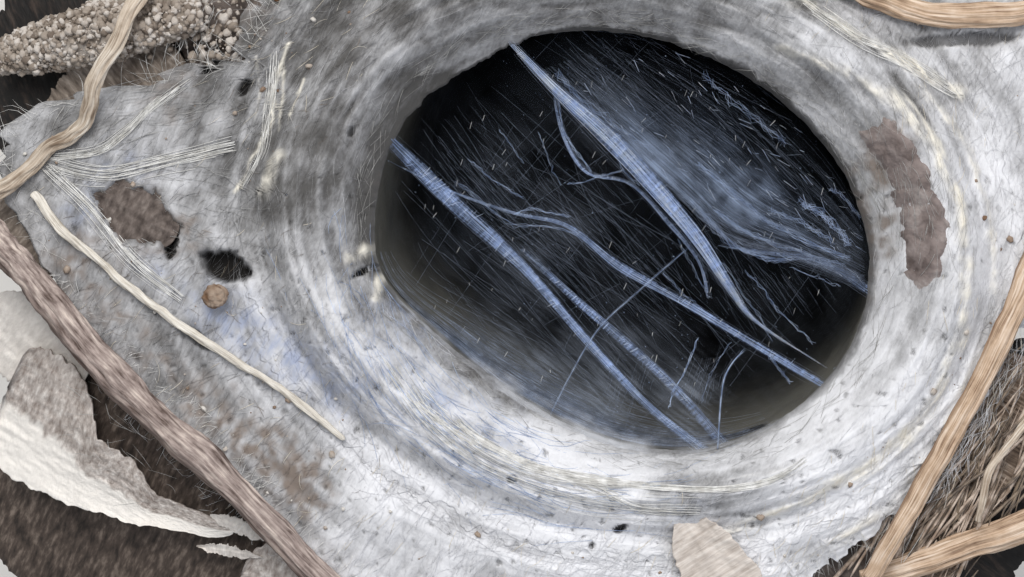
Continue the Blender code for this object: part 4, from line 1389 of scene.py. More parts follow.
RIBBONS = [
    SpunRibbon("ribbon_left", (wall_place(158.0, 1.3, -0.3), (-9.2, 1.8, -1.6), (-5.2, -1.9, -1.9),
        (-1.9, -5.7, -1.9), (1.4, -9.2, -1.9), wall_place(-69.0, 1.8, -0.3)), 0.66, 12, 3,
        swell=(0.8, 1.3, 1.35, 0.8, 0.75, 0.7, 0.7, 1.0), glow=(0.6, 0.8, 0.9, 1.2, 1.2, 1.1, 0.8, 0.5)),
    SpunRibbon("ribbon_left_fork", ((-5.6, -0.7, -2.6), (-2.2, -3.8, -2.8), (0.2, -5.9, -2.8),
        (2.6, -8.1, -2.7), wall_place(-65.0, 2.5, -0.3)), 0.5, 5, 2, swell=(0.5, 0.9, 1.0, 1.0, 1.3),
        glow=(0.5, 0.8, 0.8, 0.7, 0.5), free=(0.08, 0.0)),
    SpunRibbon("ribbon_middle", (wall_place(164.0, 3.3, -0.2), (-9.2, 2.2, -3.6), (-5.75, 1.0, -3.8),
        (-2.9, 0.3, -3.8), (-0.2, -1.8, -3.7), (3.0, -3.6, -3.3), (7.35, -6.2, -2.8),
        wall_place(-38.0, 2.3, -0.3)), 0.46, 7, 5, swell=(0.3, 0.35, 0.5, 0.6, 1.2, 1.0, 0.95, 0.9),
        glow=(0.2, 0.3, 0.5, 0.7, 1.0, 1.2, 1.2, 0.9), free=(0.06, 0.0)),
    SpunRibbon("ribbon_right", (wall_place(122.0, 1.3, -0.3), (-3.5, 7.3, -1.5), (-0.7, 4.8, -1.8),
        (1.9, 2.0, -2.2), (4.0, -0.5, -2.8), (5.8, -3.1, -3.9), (7.2, -4.8, -4.3),
        wall_place(-36.0, 4.6, 0.2)), 0.74, 34, 6, swell=(0.4, 0.8, 1.4, 1.3, 1.1, 0.7, 0.28, 0.2),
        glow=(0.3, 0.7, 1.3, 1.7, 1.9, 1.3, 0.2, 0.0), free=(0.07, 0.12), tone="bright"),
    SpunRibbon("ribbon_right_fork", ((-3.6, 7.1, -2.5), (-3.1, 5.0, -2.8), (-1.9, 3.1, -3.0),
        (0.4, 2.5, -3.3), (2.5, 0.4, -3.9), (4.1, -1.6, -4.4), (4.6, -3.6, -4.4)), 0.26, 5, 8,
        swell=(0.5, 1.0, 0.8, 0.6, 1.2, 0.8, 1.0), glow=(0.3, 0.9, 0.5, 0.6, 0.9, 0.5, 0.8),
        free=(0.03, 0.06)),
    SpunRibbon("ribbon_veil_edge", ((5.0, -0.7, -3.4), (7.4, -1.1, -3.3), (10.4, -1.6, -3.1),
        wall_place(-15.0, 2.9, -0.2)), 0.34, 6, 10, swell=(0.3, 0.8, 1.2, 1.6), glow=(0.5, 0.9, 1.0, 0.8),
        free=(0.14, 0.0)),
    SpunRibbon("thread_cross", ((3.5, -0.8, -1.6), (0.5, -3.4, -1.4), (-1.6, -5.5, -1.1),
        wall_place(-112.0, 1.0, 0.1)), 0.1, 2, 3, free=(0.06, 0.05), filmed=False),
    SpunRibbon("thread_fork", ((6.3, -6.1, -1.8), (5.2, -7.7, -1.6), wall_place(-67.0, 1.0, 0.1)), 0.16,
        4, 4, swell=(1.6, 0.8, 0.6), free=(0.1, 0.0), filmed=False),
]


@dataclass(frozen=True)
class WebLine:
    """A fine crooked line of the web: its places, how many threads it has and how far they stray."""

    places: tuple[Place, ...]
    threads: int = 3
    stray: float = 0.04

    def paths(self, steps: int, rng: Chance) -> Array:
        """The line's threads."""
        route = eased_route(self.places, np.linspace(0.0, 1.0, steps))
        return route + self.stray * rng.normal(0.0, 1.0, (self.threads, steps, 3)) * [1.0, 1.0, 0.4]


WEB_LINES = [
    WebLine(((3.9, 3.5, -2.4), (5.9, 1.9, -2.6), (7.9, 0.3, -2.9), (11.9, -1.5, -3.0)), 14, 0.1),
    WebLine(((4.8, 1.1, -2.5), (6.2, 0.1, -2.6), (7.9, -0.7, -2.8), (9.3, -1.1, -2.9),
        (11.6, -1.8, -3.0)), 12, 0.08),
    WebLine(((4.0, 1.1, -2.4), (5.6, -0.6, -2.6), (6.6, -1.1, -2.8), (8.1, -1.5, -2.9), (9.7, -1.4, -3.0),
        (12.6, -2.7, -3.0)), 16, 0.09),
    WebLine(((7.8, 1.0, -2.8), (9.3, 0.5, -2.9), (11.0, -0.6, -3.0)), 8, 0.1),
    WebLine(((9.4, 1.5, -2.8), (10.75, 0.6, -2.9), (11.9, -0.7, -3.0)), 14, 0.13),
    WebLine(((10.8, 2.2, -2.7), (11.6, 1.75, -2.8), (12.5, 0.7, -2.9)), 6, 0.08),
    WebLine(((8.9, -1.9, -3.0), (10.1, -2.4, -3.1), (11.4, -2.9, -3.0)), 3, 0.05),
    WebLine(((-3.4, 8.2, -2.0), (-2.4, 7.0, -2.1), (-0.6, 5.6, -2.2), (1.4, 4.2, -2.4)), 8, 0.12),
    WebLine(((4.2, 8.2, -2.4), (5.6, 6.9, -2.5), (8.4, 4.6, -2.6)), 5, 0.14),
    WebLine(((-3.7, 7.2, -2.2), (-3.3, 6.6, -2.4), (-3.2, 5.6, -2.6), (-2.6, 4.4, -2.8),
        (-1.6, 3.1, -3.0)), 4),
    WebLine(((-2.9, 2.5, -3.0), (-1.9, 2.6, -3.0), (-1.2, 2.9, -3.0), (0.1, 3.2, -2.8))),
    WebLine(((-1.2, 5.2, -2.4), (-0.4, 4.1, -2.6), (0.1, 3.1, -2.8), (0.9, 2.4, -3.0)), 4),
    WebLine(((-4.4, 5.2, -3.2), (-4.0, 4.1, -3.2), (-3.7, 3.3, -3.2), (-3.2, 2.4, -3.2)), 2),
    WebLine(((-8.1, 3.8, -3.4), (-7.2, 3.0, -3.4), (-6.4, 2.5, -3.4), (-5.2, 1.7, -3.4)), 3, 0.06),
    WebLine(((-6.5, 5.4, -3.6), (-5.9, 4.6, -3.6), (-5.2, 3.6, -3.6)), 2),
    WebLine(((-5.7, 0.9, -3.6), (-4.8, 1.2, -3.6), (-3.9, 1.0, -3.6), (-2.8, 0.8, -3.6)), 5, 0.05),
    WebLine(((-8.6, 2.6, -3.8), (-7.0, 1.2, -3.8), (-5.4, 0.3, -3.8), (-3.2, 0.2, -3.8),
        (-1.4, -0.9, -3.8)), 4, 0.08),
    WebLine(((6.6, -2.1, -4.4), (7.6, -3.2, -4.4), (8.2, -4.1, -4.4), (9.3, -5.1, -4.4),
        (10.1, -5.9, -4.4)), 3, 0.07),
    WebLine(((5.4, -1.6, -5.0), (6.5, -3.4, -5.0), (7.4, -4.6, -5.0), (8.0, -5.8, -5.0)), 3, 0.06),
    WebLine(((7.7, -6.6, -3.4), (8.3, -7.3, -3.4), (8.8, -7.9, -3.4)), 5, 0.06),
    WebLine(((2.2, -2.2, -4.6), (3.3, -3.3, -4.6), (4.4, -4.2, -4.6)), 3, 0.05),
    WebLine(((3.0, -0.4, -4.8), (3.8, -1.9, -4.8), (4.5, -3.2, -4.8)), 3, 0.05),
    WebLine(((3.9, -5.6, -2.6), (3.3, -7.2, -2.6), (2.6, -8.4, -2.6), (2.4, -9.2, -2.4)), 3, 0.04),
    WebLine(((5.6, -5.8, -2.4), (4.6, -7.4, -2.4), (4.1, -8.9, -2.2)), 2, 0.04),
    WebLine(((-8.4, -6.0, -3.4), (-6.6, -7.0, -3.4), (-4.6, -7.9, -3.4)), 2, 0.03),
]


@dataclass(frozen=True)
class Spray:
    """A patch of short fine threads that run one way: place, spread, heading and how many."""

    x: float
    y: float
    depth: float
    spread: float
    heading: float
    count: int

    def paths(self, steps: int, rng: Chance) -> Array:
        """The patch's threads."""
        middle = rng.normal(0.0, 0.5 * self.spread, (self.count, 2)) + [self.x, self.y]
        heading = np.radians(rng.normal(self.heading, 4.0, (self.count, 1)))
        half = 0.15 + 1.5 * rng.random((self.count, 1)) ** 2
        t = np.linspace(-1.0, 1.0, steps)
        bow = rng.normal(0.0, 0.05, (self.count, 1)) * (1.0 - t * t)
        x = middle[:, :1] + half * t * np.cos(heading) - bow * np.sin(heading)
        y = middle[:, 1:] + half * t * np.sin(heading) + bow * np.cos(heading)
        return columns(x, y, rng.normal(-self.depth, 0.5, (self.count, 1)) + 0.0 * t)


SPRAYS = [Spray(*row) for row in (
    (-8.3, 3.2, 3.0, 2.4, -52.0, 80), (-6.2, 1.6, 3.4, 1.8, -48.0, 90),
    (-4.0, -1.0, 3.8, 2.0, -42.0, 80), (-1.0, 0.8, 4.0, 2.4, -48.0, 50),
    (1.5, -1.8, 3.8, 2.2, -50.0, 60), (6.2, -3.4, 4.2, 2.2, -54.0, 40),
    (8.6, -2.9, 4.0, 1.8, -55.0, 40), (4.2, -7.9, 2.4, 1.0, 72.0, 34), (-0.2, -8.4, 2.2, 1.2, 70.0, 30),
    (-7.6, -5.4, 3.6, 2.4, -34.0, 60), (5.4, 5.6, 2.6, 3.4, -38.0, 70),
    (-0.4, 8.2, 2.6, 2.2, -46.0, 70),
)]
HAZES = [Spot(*row) for row in (
    (-5.4, 2.9, 1.5, 0.4), (-6.9, -1.5, 1.3, 0.35), (-5.1, -3.6, 1.6, 0.3), (-3.4, -0.4, 1.8, 0.3),
    (0.5, -5.6, 1.8, 0.3), (-4.3, -7.7, 2.0, 0.7), (-0.8, -9.2, 1.8, 1.5), (3.3, -9.6, 1.5, 1.3),
    (-7.6, -7.2, 1.6, 1.0), (-1.3, 6.7, 2.0, 0.5), (2.0, 3.6, 1.6, 0.3), (11.4, -1.6, 1.3, 0.7),
)]


def joint(groups: Sequence[Spray | WebLine], steps: int, rng: Chance) -> Array:
    """The threads of all the groups."""
    return np.concatenate([group.paths(steps, rng) for group in groups])


@dataclass
class Veils:
    """The fan of fine silk right of the main ribbon, the gauze along the front, and lone threads."""

    fan_threads: int = 190
    fan_bands: int = 19
    gauze_threads: int = 240
    lone_threads: int = 190
    ticks_a_ribbon: int = 90
    motes: int = 620
    dashes: int = 90
    sparks: int = 120
    haze_turn: float = math.radians(-46.0)
    fan_low: tuple[Place, ...] = (
        (-4.4, 8.3, 0), (-0.7, 5.0, 0), (2.7, 1.9, 0), (5.3, -0.4, 0), (8.9, -1.5, 0), (12.7, -2.9, 0)
    )
    fan_high: tuple[Place, ...] = (
        (0.8, 10.2, 0), (4.6, 8.6, 0), (8.2, 6.2, 0), (10.8, 3.4, 0), (12.6, 0.4, 0)
    )

    def fan_place(self, u: Array, v: Array) -> Array:
        """A place on the fan: u along its threads and v across them."""
        low, high = eased_route(self.fan_low, u), eased_route(self.fan_high, u)
        places = mix(low, high, v[..., None])
        places[..., 2] = -(1.7 + u + 0.5 * np.sin(np.pi * np.clip(v, 0.0, 1.0)) * u)
        return places

    def gauze_place(self, u: Array, v: Array) -> Array:
        """A place on the gauze: u along the throat's front and v in from the wall."""
        angle = np.radians(mix(186.0, 306.0, u))
        hang = 1.0 - (2.0 * u - 1.0) ** 2
        clear = 0.1 + 1.9 * v * mix(0.3, 1.0, hang)
        places = lining_point(angle.ravel(), np.full(angle.size, 3.4), -clear.ravel())
        places = places.reshape(*angle.shape, 3)
        places[..., 2] -= 0.9 * v - 1.0 * (1.0 - v)
        return places

    def haze_mould(self, u: Array, v: Array, side: Array) -> Moulded:
        """A film over the whole throat, below the ribbons, whose streaks run as they do."""
        across, up = 2.0 * u - 1.0, 2.0 * v - 1.0
        disc_x = across * np.sqrt(1.0 - 0.5 * up * up)
        disc_y = up * np.sqrt(1.0 - 0.5 * across * across)
        angle = np.arctan2(disc_y, disc_x) + self.haze_turn
        reach = np.hypot(disc_x, disc_y)
        radius = reach * (throat_radius(angle) + 0.15)
        x, y = polar(radius, angle)
        thick = 0.08 + marked(HAZES, x, y)
        depth = 5.2 - 2.6 * reach**4 + 0.03 * side
        body = np.maximum(thick, 0.0) * (1.0 - 0.6 * reach**6)
        return columns(x + 0.25, y + 0.4, -depth), {"film": body}

    def fan_film(self, u: Array, v: Array, side: Array) -> Moulded:
        """The fan's thin film, thickest beside the ribbon."""
        places = self.fan_place(u, v)
        places[:, 2] -= 0.03 * side
        body = 0.06 * (1.0 - v)
        clouded = ((1.25, 0.04, 0.24, 0.42, 0.24), (0.35, 0.45, 0.16, 0.6, 0.16))
        for thick, at_v, wide_v, at_u, wide_u in clouded:
            body = body + thick * bell(v - at_v, wide_v) * bell(u - at_u, wide_u)
        trailing = ((0.6, 0.03, 0.08, 0.6, 0.2), (0.3, 0.3, 0.12, 0.5, 0.3))
        for thick, at_v, wide_v, from_u, over_u in trailing:
            body = body + thick * bell(v - at_v, wide_v) * smooth((u - from_u) / over_u)
        rays = 0.5 + 1.6 * lumps(columns(1.4 * u, 9.0 * v), 1.0, 5.0, 2)
        body = body * mix(1.0, np.clip(rays, 0.0, 1.8), 0.2 + 0.8 * smooth((u - 0.3) / 0.3))
        clouds = 1.0 + 0.9 * lumps(columns(20.0 * u, 8.0 * v), 0.9, 8.0, 3)
        body = body * np.clip(clouds, 0.2, 2.2)
        ends = smooth(v * 20.0) * smooth((1.0 - v) * 2.6) * smooth(u * 3.0) * smooth((1.0 - u) * 16.0)
        return places, {"film": body * ends}

    def lip_fluff(self, u: Array, v: Array, side: Array) -> Moulded:
        """Loose fluff that hangs from the front's lip and thins out into the throat."""
        angle = np.radians(mix(178.0, 322.0, u))
        ragged = lumps(columns(26.0 * u, 2.0 * v), 1.9, 27.0, 3)
        uneven = 1.0 + 0.3 * lumps(columns(26.0 * u, 0.0 * u), 2.6, 3.0)
        inward = (0.4 + 1.1 * np.sin(np.pi * u) * uneven) * v
        radius = throat_radius(angle) + 0.3 - inward
        height = -0.7 - 1.1 * v - 0.03 * side
        body = (1.0 - v) ** 1.3 * (0.8 + 0.6 * ragged) * smooth(12.0 * u * (1.0 - u))
        return columns(*polar(radius, angle), height), {"film": 1.3 * np.maximum(body, 0.0)}

    def gauze_film(self, u: Array, v: Array, side: Array) -> Moulded:
        """The gauze's thin film."""
        places = self.gauze_place(u, v)
        places[:, 2] -= 0.03 * side
        body = 1.5 * np.maximum(1.0 - v, 0.0) ** 1.4 * smooth(2.6 * u * (1.0 - u)) ** 2
        return places, {"film": body}

    def lone(self, steps: int, rng: Chance) -> Array:
        """Lone threads at many depths, most of them along the ribbons and a few across."""
        count = self.lone_threads
        along = rng.normal(-46.0, 8.0, count)
        heading = np.radians(np.where(rng.random(count) < 0.88, along, rng.normal(50.0, 16.0, count)))
        depth = rng.uniform(1.4, 7.5, count)
        across = rng.uniform(-9.5, 9.5, count)
        base = columns(-across * np.sin(heading), across * np.cos(heading))
        half = rng.uniform(1.0, 6.0, count)
        t = np.linspace(-1.0, 1.0, steps)
        run = rng.uniform(-6.0, 6.0, count)[:, None] + half[:, None] * t
        bow = rng.normal(0.0, 0.2, (count, 1)) * (1.0 - t**2)
        x = base[:, :1] + run * np.cos(heading)[:, None] + bow
        y = base[:, 1:] + run * np.sin(heading)[:, None] + bow
        squeeze = np.minimum((throat_radius(np.arctan2(y, x)) + 0.1) / np.hypot(x, y), 1.0)
        return columns(x * squeeze, y * squeeze, -depth[:, None] + 0.0 * x)

    def fan_paths(self, steps: int, rng: Chance) -> tuple[Array, Array]:
        """The fan's threads in loose bands, thicker set beside the ribbon, and how stout each is."""
        count = self.fan_threads
        bands = rng.random(self.fan_bands) ** 1.7
        banded = bands[rng.integers(0, self.fan_bands, count)] + rng.normal(0.0, 0.014, count)
        start = np.where(rng.random(count) < 0.6, banded, rng.random(count) ** 1.7)
        from_u = rng.uniform(-0.1, 0.8, count)
        to_u = np.where(rng.random(count) < 0.45, 1.03, from_u + rng.uniform(0.15, 0.8, count))
        u = mix(
            np.maximum(from_u, 0.0)[:, None], np.clip(to_u, 0.0, 1.03)[:, None],
            np.linspace(0.0, 1.0, steps),
        )
        v = start[:, None] + rng.normal(0.0, 0.09, (count, 1)) * (u - 0.5)
        paths = self.fan_place(u, v)
        paths[..., 2] += rng.normal(0.0, 0.22, (count, 1))
        return paths, 1.0 - 0.7 * np.clip(start, 0.0, 1.0)

    def gauze_paths(self, steps: int, rng: Chance) -> Array:
        """The gauze's threads, fewer the further they hang from the wall."""
        count = self.gauze_threads
        start = np.abs(rng.normal(0.0, 0.42, (count, 1)))
        middle = rng.uniform(0.12, 0.88, (count, 1))
        half = rng.uniform(0.03, 0.2, (count, 1))
        u = np.clip(middle + half * np.linspace(-1.0, 1.0, steps), 0.0, 1.0)
        v = start + rng.normal(0.0, 0.5, (count, 1)) * (u - middle)
        return self.gauze_place(u, np.clip(v, -0.05, 1.5))

    def dust(self, rng: Chance) -> Array:
        """Short bright lengths of loose thread, standing nearly upright."""
        angle = rng.uniform(0.0, math.tau, self.dashes)
        radius = 9.6 * np.sqrt(rng.random(self.dashes))
        middle = columns(
            radius * np.cos(angle) * 1.15, radius * np.sin(angle) * 0.92,
            rng.uniform(-5.5, -2.0, self.dashes),
        )
        turn = np.radians(rng.normal(66.0, 12.0, self.dashes))
        half = rng.uniform(0.05, 0.2, (self.dashes, 1)) * columns(np.cos(turn), np.sin(turn), 0.0)
        return dashes(middle, half)

    def build(self, finishes: Finishes, rng: Chance) -> None:
        """Makes every veil and lone thread."""
        steps = 12
        fan, stout = self.fan_paths(steps, rng)
        threads = [
            ("veil_fan_threads", fan, 0.0025, 0.0075, "faint", "veil_fan"),
            ("veil_front_threads", self.gauze_paths(steps, rng), 0.003, 0.009, "faint", "veil_front"),
            ("lone_threads", self.lone(steps, rng), 0.0022, 0.006, "faint", ""),
            ("fine_sprays", joint(SPRAYS, 5, rng), 0.002, 0.0055, "faint", ""),
            ("web_lines", joint(WEB_LINES, 18, rng), 0.004, 0.011, "blue_sheen", ""),
            ("dust_dashes", self.dust(rng), 0.007, 0.016, "pale", ""),
        ]
        ticks = np.concatenate([ribbon.ticks(self.ticks_a_ribbon, rng) for ribbon in RIBBONS[:5]])
        spots = self.fan_place(rng.uniform(0.1, 1.0, self.sparks), rng.random(self.sparks))
        turn = np.radians(rng.normal(-38.0, 18.0, self.sparks))
        half = rng.uniform(0.1, 0.4, (self.sparks, 1)) * columns(np.cos(turn), np.sin(turn), 0.0)
        sparks = dashes(spots, half)
        threads.append(("cross_ticks", np.concatenate([ticks, sparks]), 0.004, 0.011, "bright", ""))
        for name, paths, thin, thick, tone, node in threads:
            radii = np.repeat(rng.uniform(thin, thick, (len(paths), 1)), paths.shape[1], axis=1)
            if name == "veil_fan_threads":
                radii = radii * stout[:, None]
            piece = strands(name, paths, radii, finishes.thread[tone])
            settle(piece, "silk_ribbon", *([node] if node else []))
        for name, blank, mould, finish, lay in (
            ("veil_fan_film", sheet_blank(76, 90), self.fan_film, finishes.veil_film, (16.0, 7.0)),
            ("veil_front_film", sheet_blank(80, 14), self.gauze_film, finishes.veil_film, (18.0, 2.0)),
            ("throat_haze_film", sheet_blank(64, 64), self.haze_mould, finishes.haze_film, (24.0, 22.0)),
            ("lip_fluff_film", sheet_blank(240, 16), self.lip_fluff, finishes.lip_film, (26.0, 2.0)),
        ):
            settle(moulded(name, blank, mould, [finish], lay), "silk_ribbon")
        share = rng.random(self.motes)
        places = [ribbon.frame_at(share[number :: 6])[0] for number, ribbon in enumerate(RIBBONS[:5])]
        places.append(self.fan_place(share[5::6], rng.random(len(share[5::6]))))
        centres = np.concatenate(places)
        centres[:, :2] += rng.normal(0.0, 0.9, (len(centres), 2))
        sizes = 0.008 + 0.022 * rng.random(len(centres)) ** 3
        settle(pebbles("dust_motes", centres, sizes, finishes.thread["blue_sheen"], rng, 1), "silk_ribbon")


class Heading(Enum):
    """Which way a zone's fibres run."""

    ROUND = "round the throat"
    STROKE = "in the slanting strokes of the front"
    WEAVE = "round the throat near it and slanting further out"
    FAN = "out from the corner that the stem holds"


@dataclass(frozen=True)
class FibreZone:
    """Loose fibres that stand a little off the felt in one part of it."""

    name: str
    thread: str
    count: int
    heading: Heading
    inner: float
    outer: float
    length: tuple[float, float]
    radius: tuple[float, float]
    lift: float
    scatter: float = 0.22
    spot: tuple[float, float, float] | None = None
    paler: float = 0.07
    fan_x: float = -31.0
    fan_y: float = 3.8
    steps: int = 5

    def paths(self, felt: Felt, rng: Chance) -> tuple[Array, Array, Layers]:
        """Lays the fibres on the felt.

        Args:
            felt: The felt's upper face.
            rng: The seeded source of chance.

        Returns:
            The fibres' places, where each root lies on the map for baking, and the felt's layers there.
        """
        pool = self.count * (6 if self.spot else 1)
        angle = rng.uniform(0.0, math.tau, pool)
        inner = throat_radius(angle) + self.inner
        outer = np.minimum(throat_radius(angle) + self.outer, apron_edge(angle) - 0.6)
        share = rng.random(pool) ** 0.85
        radius = mix(inner, np.maximum(outer, inner + 0.2), share)
        x, y = polar(radius, angle)
        if self.spot:
            spot_x, spot_y, spread = self.spot
            near = rng.random(pool) < bell(np.hypot(x - spot_x, y - spot_y), spread)
            x, y, angle, share = (row[near][: self.count] for row in (x, y, angle, share))
        count = len(x)
        roots = columns(angle / math.tau, share)
        ringed = rng.random(count) < felt.ringed(x, y)
        if self.heading is Heading.ROUND:
            ringed[:] = True
        if self.heading in (Heading.STROKE, Heading.FAN):
            ringed[:] = False
        slant = STROKE_TURN + np.where(x < -13.0, -0.35, 0.0) + np.where(x > 12.0, 0.25, 0.0)
        if self.heading is Heading.FAN:
            slant = np.arctan2(y - self.fan_y, x - self.fan_x)
        jitter = rng.normal(0.0, self.scatter, count)
        flip = np.where(rng.random(count) < 0.5, np.pi, 0.0)
        bend = rng.normal(0.0, 0.16, count)
        step = rng.uniform(*self.length, count) / (self.steps - 1)
        rows = []
        for number in range(self.steps):
            rows.append(columns(x, y))
            way = np.where(ringed, np.arctan2(y, x) + 0.5 * np.pi, slant)
            course = way + flip + jitter + bend * number
            x, y = x + step * np.cos(course), y + step * np.sin(course)
        plan = np.stack(rows, axis=1)
        flat = plan.reshape(-1, 2)
        away = np.hypot(flat[:, 0], flat[:, 1])
        turn = np.arctan2(flat[:, 1], flat[:, 0])
        held = np.clip(away, throat_radius(turn) - 0.05, np.maximum(apron_edge(turn) - 0.3, 0.0))
        flat = flat * (held / away)[:, None]
        height, layers = felt.dressed(flat[:, 0], flat[:, 1])
        layers = {name: values.reshape(count, self.steps) for name, values in layers.items()}
        layers["tone"] = layers["tone"] + rng.normal(self.paler, 0.09, (count, 1))
        layers["hole_and_shade"] = 0.5 * layers["hole_and_shade"]
        arch = np.sin(np.pi * np.linspace(0.05, 0.95, self.steps))
        raised = self.lift * rng.uniform(0.15, 1.0, (count, 1)) * arch
        places = columns(flat[:, 0], flat[:, 1], height).reshape(count, self.steps, 3)
        places[..., 2] += raised
        return places, roots, layers

    def build(self, felt: Felt, finishes: Finishes, rng: Chance) -> None:
        """Makes the zone's fibres."""
        places, roots, layers = self.paths(felt, rng)
        thick = rng.uniform(*self.radius, (len(places), 1))
        radii = thick * np.array([0.55, 1.0, 1.0, 0.9, 0.45])[: self.steps]
        if self.thread == "felt":
            piece = strands(self.name, places, radii, finishes.felt, roots=roots, layers=layers)
        else:
            piece = strands(self.name, places, radii, finishes.thread[self.thread], roots=roots)
        settle(piece, "felted_silk")


ZONES = [
    FibreZone("fibres_ring", "felt", 3500, Heading.ROUND, 0.0, 7.5, (0.8, 3.4), (0.006, 0.014), lift=0.07,
        scatter=0.12),
    FibreZone("fibres_front", "felt", 5100, Heading.STROKE, 2.5, 20.0, (0.5, 1.7), (0.006, 0.014),
        lift=0.1, scatter=0.2),
    FibreZone("fibres_crossing", "felt", 2100, Heading.WEAVE, 1.5, 16.0, (0.8, 2.6), (0.005, 0.011),
        lift=0.12, scatter=0.5),
    FibreZone("fibres_cream", "cream", 460, Heading.STROKE, 2.5, 18.0, (0.5, 1.6), (0.007, 0.016),
        lift=0.1, scatter=0.25),
    FibreZone("fibres_corner_fan", "grey", 1000, Heading.FAN, 4.0, 21.0, (1.4, 4.2), (0.006, 0.013),
        lift=0.1, scatter=0.07, spot=(-25.0, 3.2, 4.2)),
    # These two zones lay fibres in the blue_sheen finish, whose bluish tint is a painted reflection.
    FibreZone("fibres_blue_bowl", "blue_sheen", 380, Heading.ROUND, 0.4, 5.5, (2.0, 5.5), (0.006, 0.013),
        lift=0.12, scatter=0.06, spot=(-11.6, -6.2, 4.2)),
    FibreZone("fibres_blue_front", "blue_sheen", 260, Heading.ROUND, 0.8, 5.0, (2.0, 5.5), (0.006, 0.013),
        lift=0.12, scatter=0.06, spot=(-4.0, -11.8, 4.4)),
    FibreZone("fibres_over_clay", "grey", 520, Heading.ROUND, 0.2, 5.0, (0.8, 3.0), (0.006, 0.013),
        lift=0.55, scatter=0.15, spot=(13.6, 1.6, 3.4)),
    FibreZone("fibres_brown", "brown", 300, Heading.STROKE, 3.0, 20.0, (0.4, 1.2), (0.006, 0.012),
        lift=0.08, scatter=0.6, spot=(-21.0, -2.0, 8.0)),
]


CORDS = [
    (((-8.6, -9.6), (-7.9, -10.3), (-5.4, -11.7), (-2.3, -12.6), (1.3, -13.1), (4.9, -13.2), (7.4, -12.7),
        (9.2, -11.7)), 34, 0.06),
    (((-10.8, -8.7), (-9.2, -9.8), (-6.9, -11.3), (-4.4, -12.4), (-1.3, -12.9), (2.0, -13.0)), 16, 0.2),
    (((-2.6, -12.6), (-1.3, -13.2), (0.6, -14.0), (3.0, -14.4)), 12, 0.1),
    (((-12.4, -6.2), (-9.8, -9.9), (-6.2, -12.4), (-1.4, -13.9), (4.0, -14.2)), 18, 0.3),
    (((-30.2, 3.9), (-27.5, 4.1), (-25.9, 5.1), (-24.4, 6.4), (-22.4, 7.8)), 22, 0.12),
    (((-30.2, 3.7), (-27.0, 3.0), (-23.6, 3.6), (-20.0, 4.4)), 22, 0.3),
    (((-30.4, 3.5), (-28.0, 1.4), (-25.4, -1.6), (-22.8, -3.6)), 14, 0.2),
    (((-18.0, 9.2), (-18.1, 7.4), (-18.4, 5.6), (-18.7, 3.9), (-19.8, 2.0)), 16, 0.14),
    (((9.0, 11.6), (11.6, 9.8), (14.1, 8.7), (17.2, 6.9)), 16, 0.2),
]


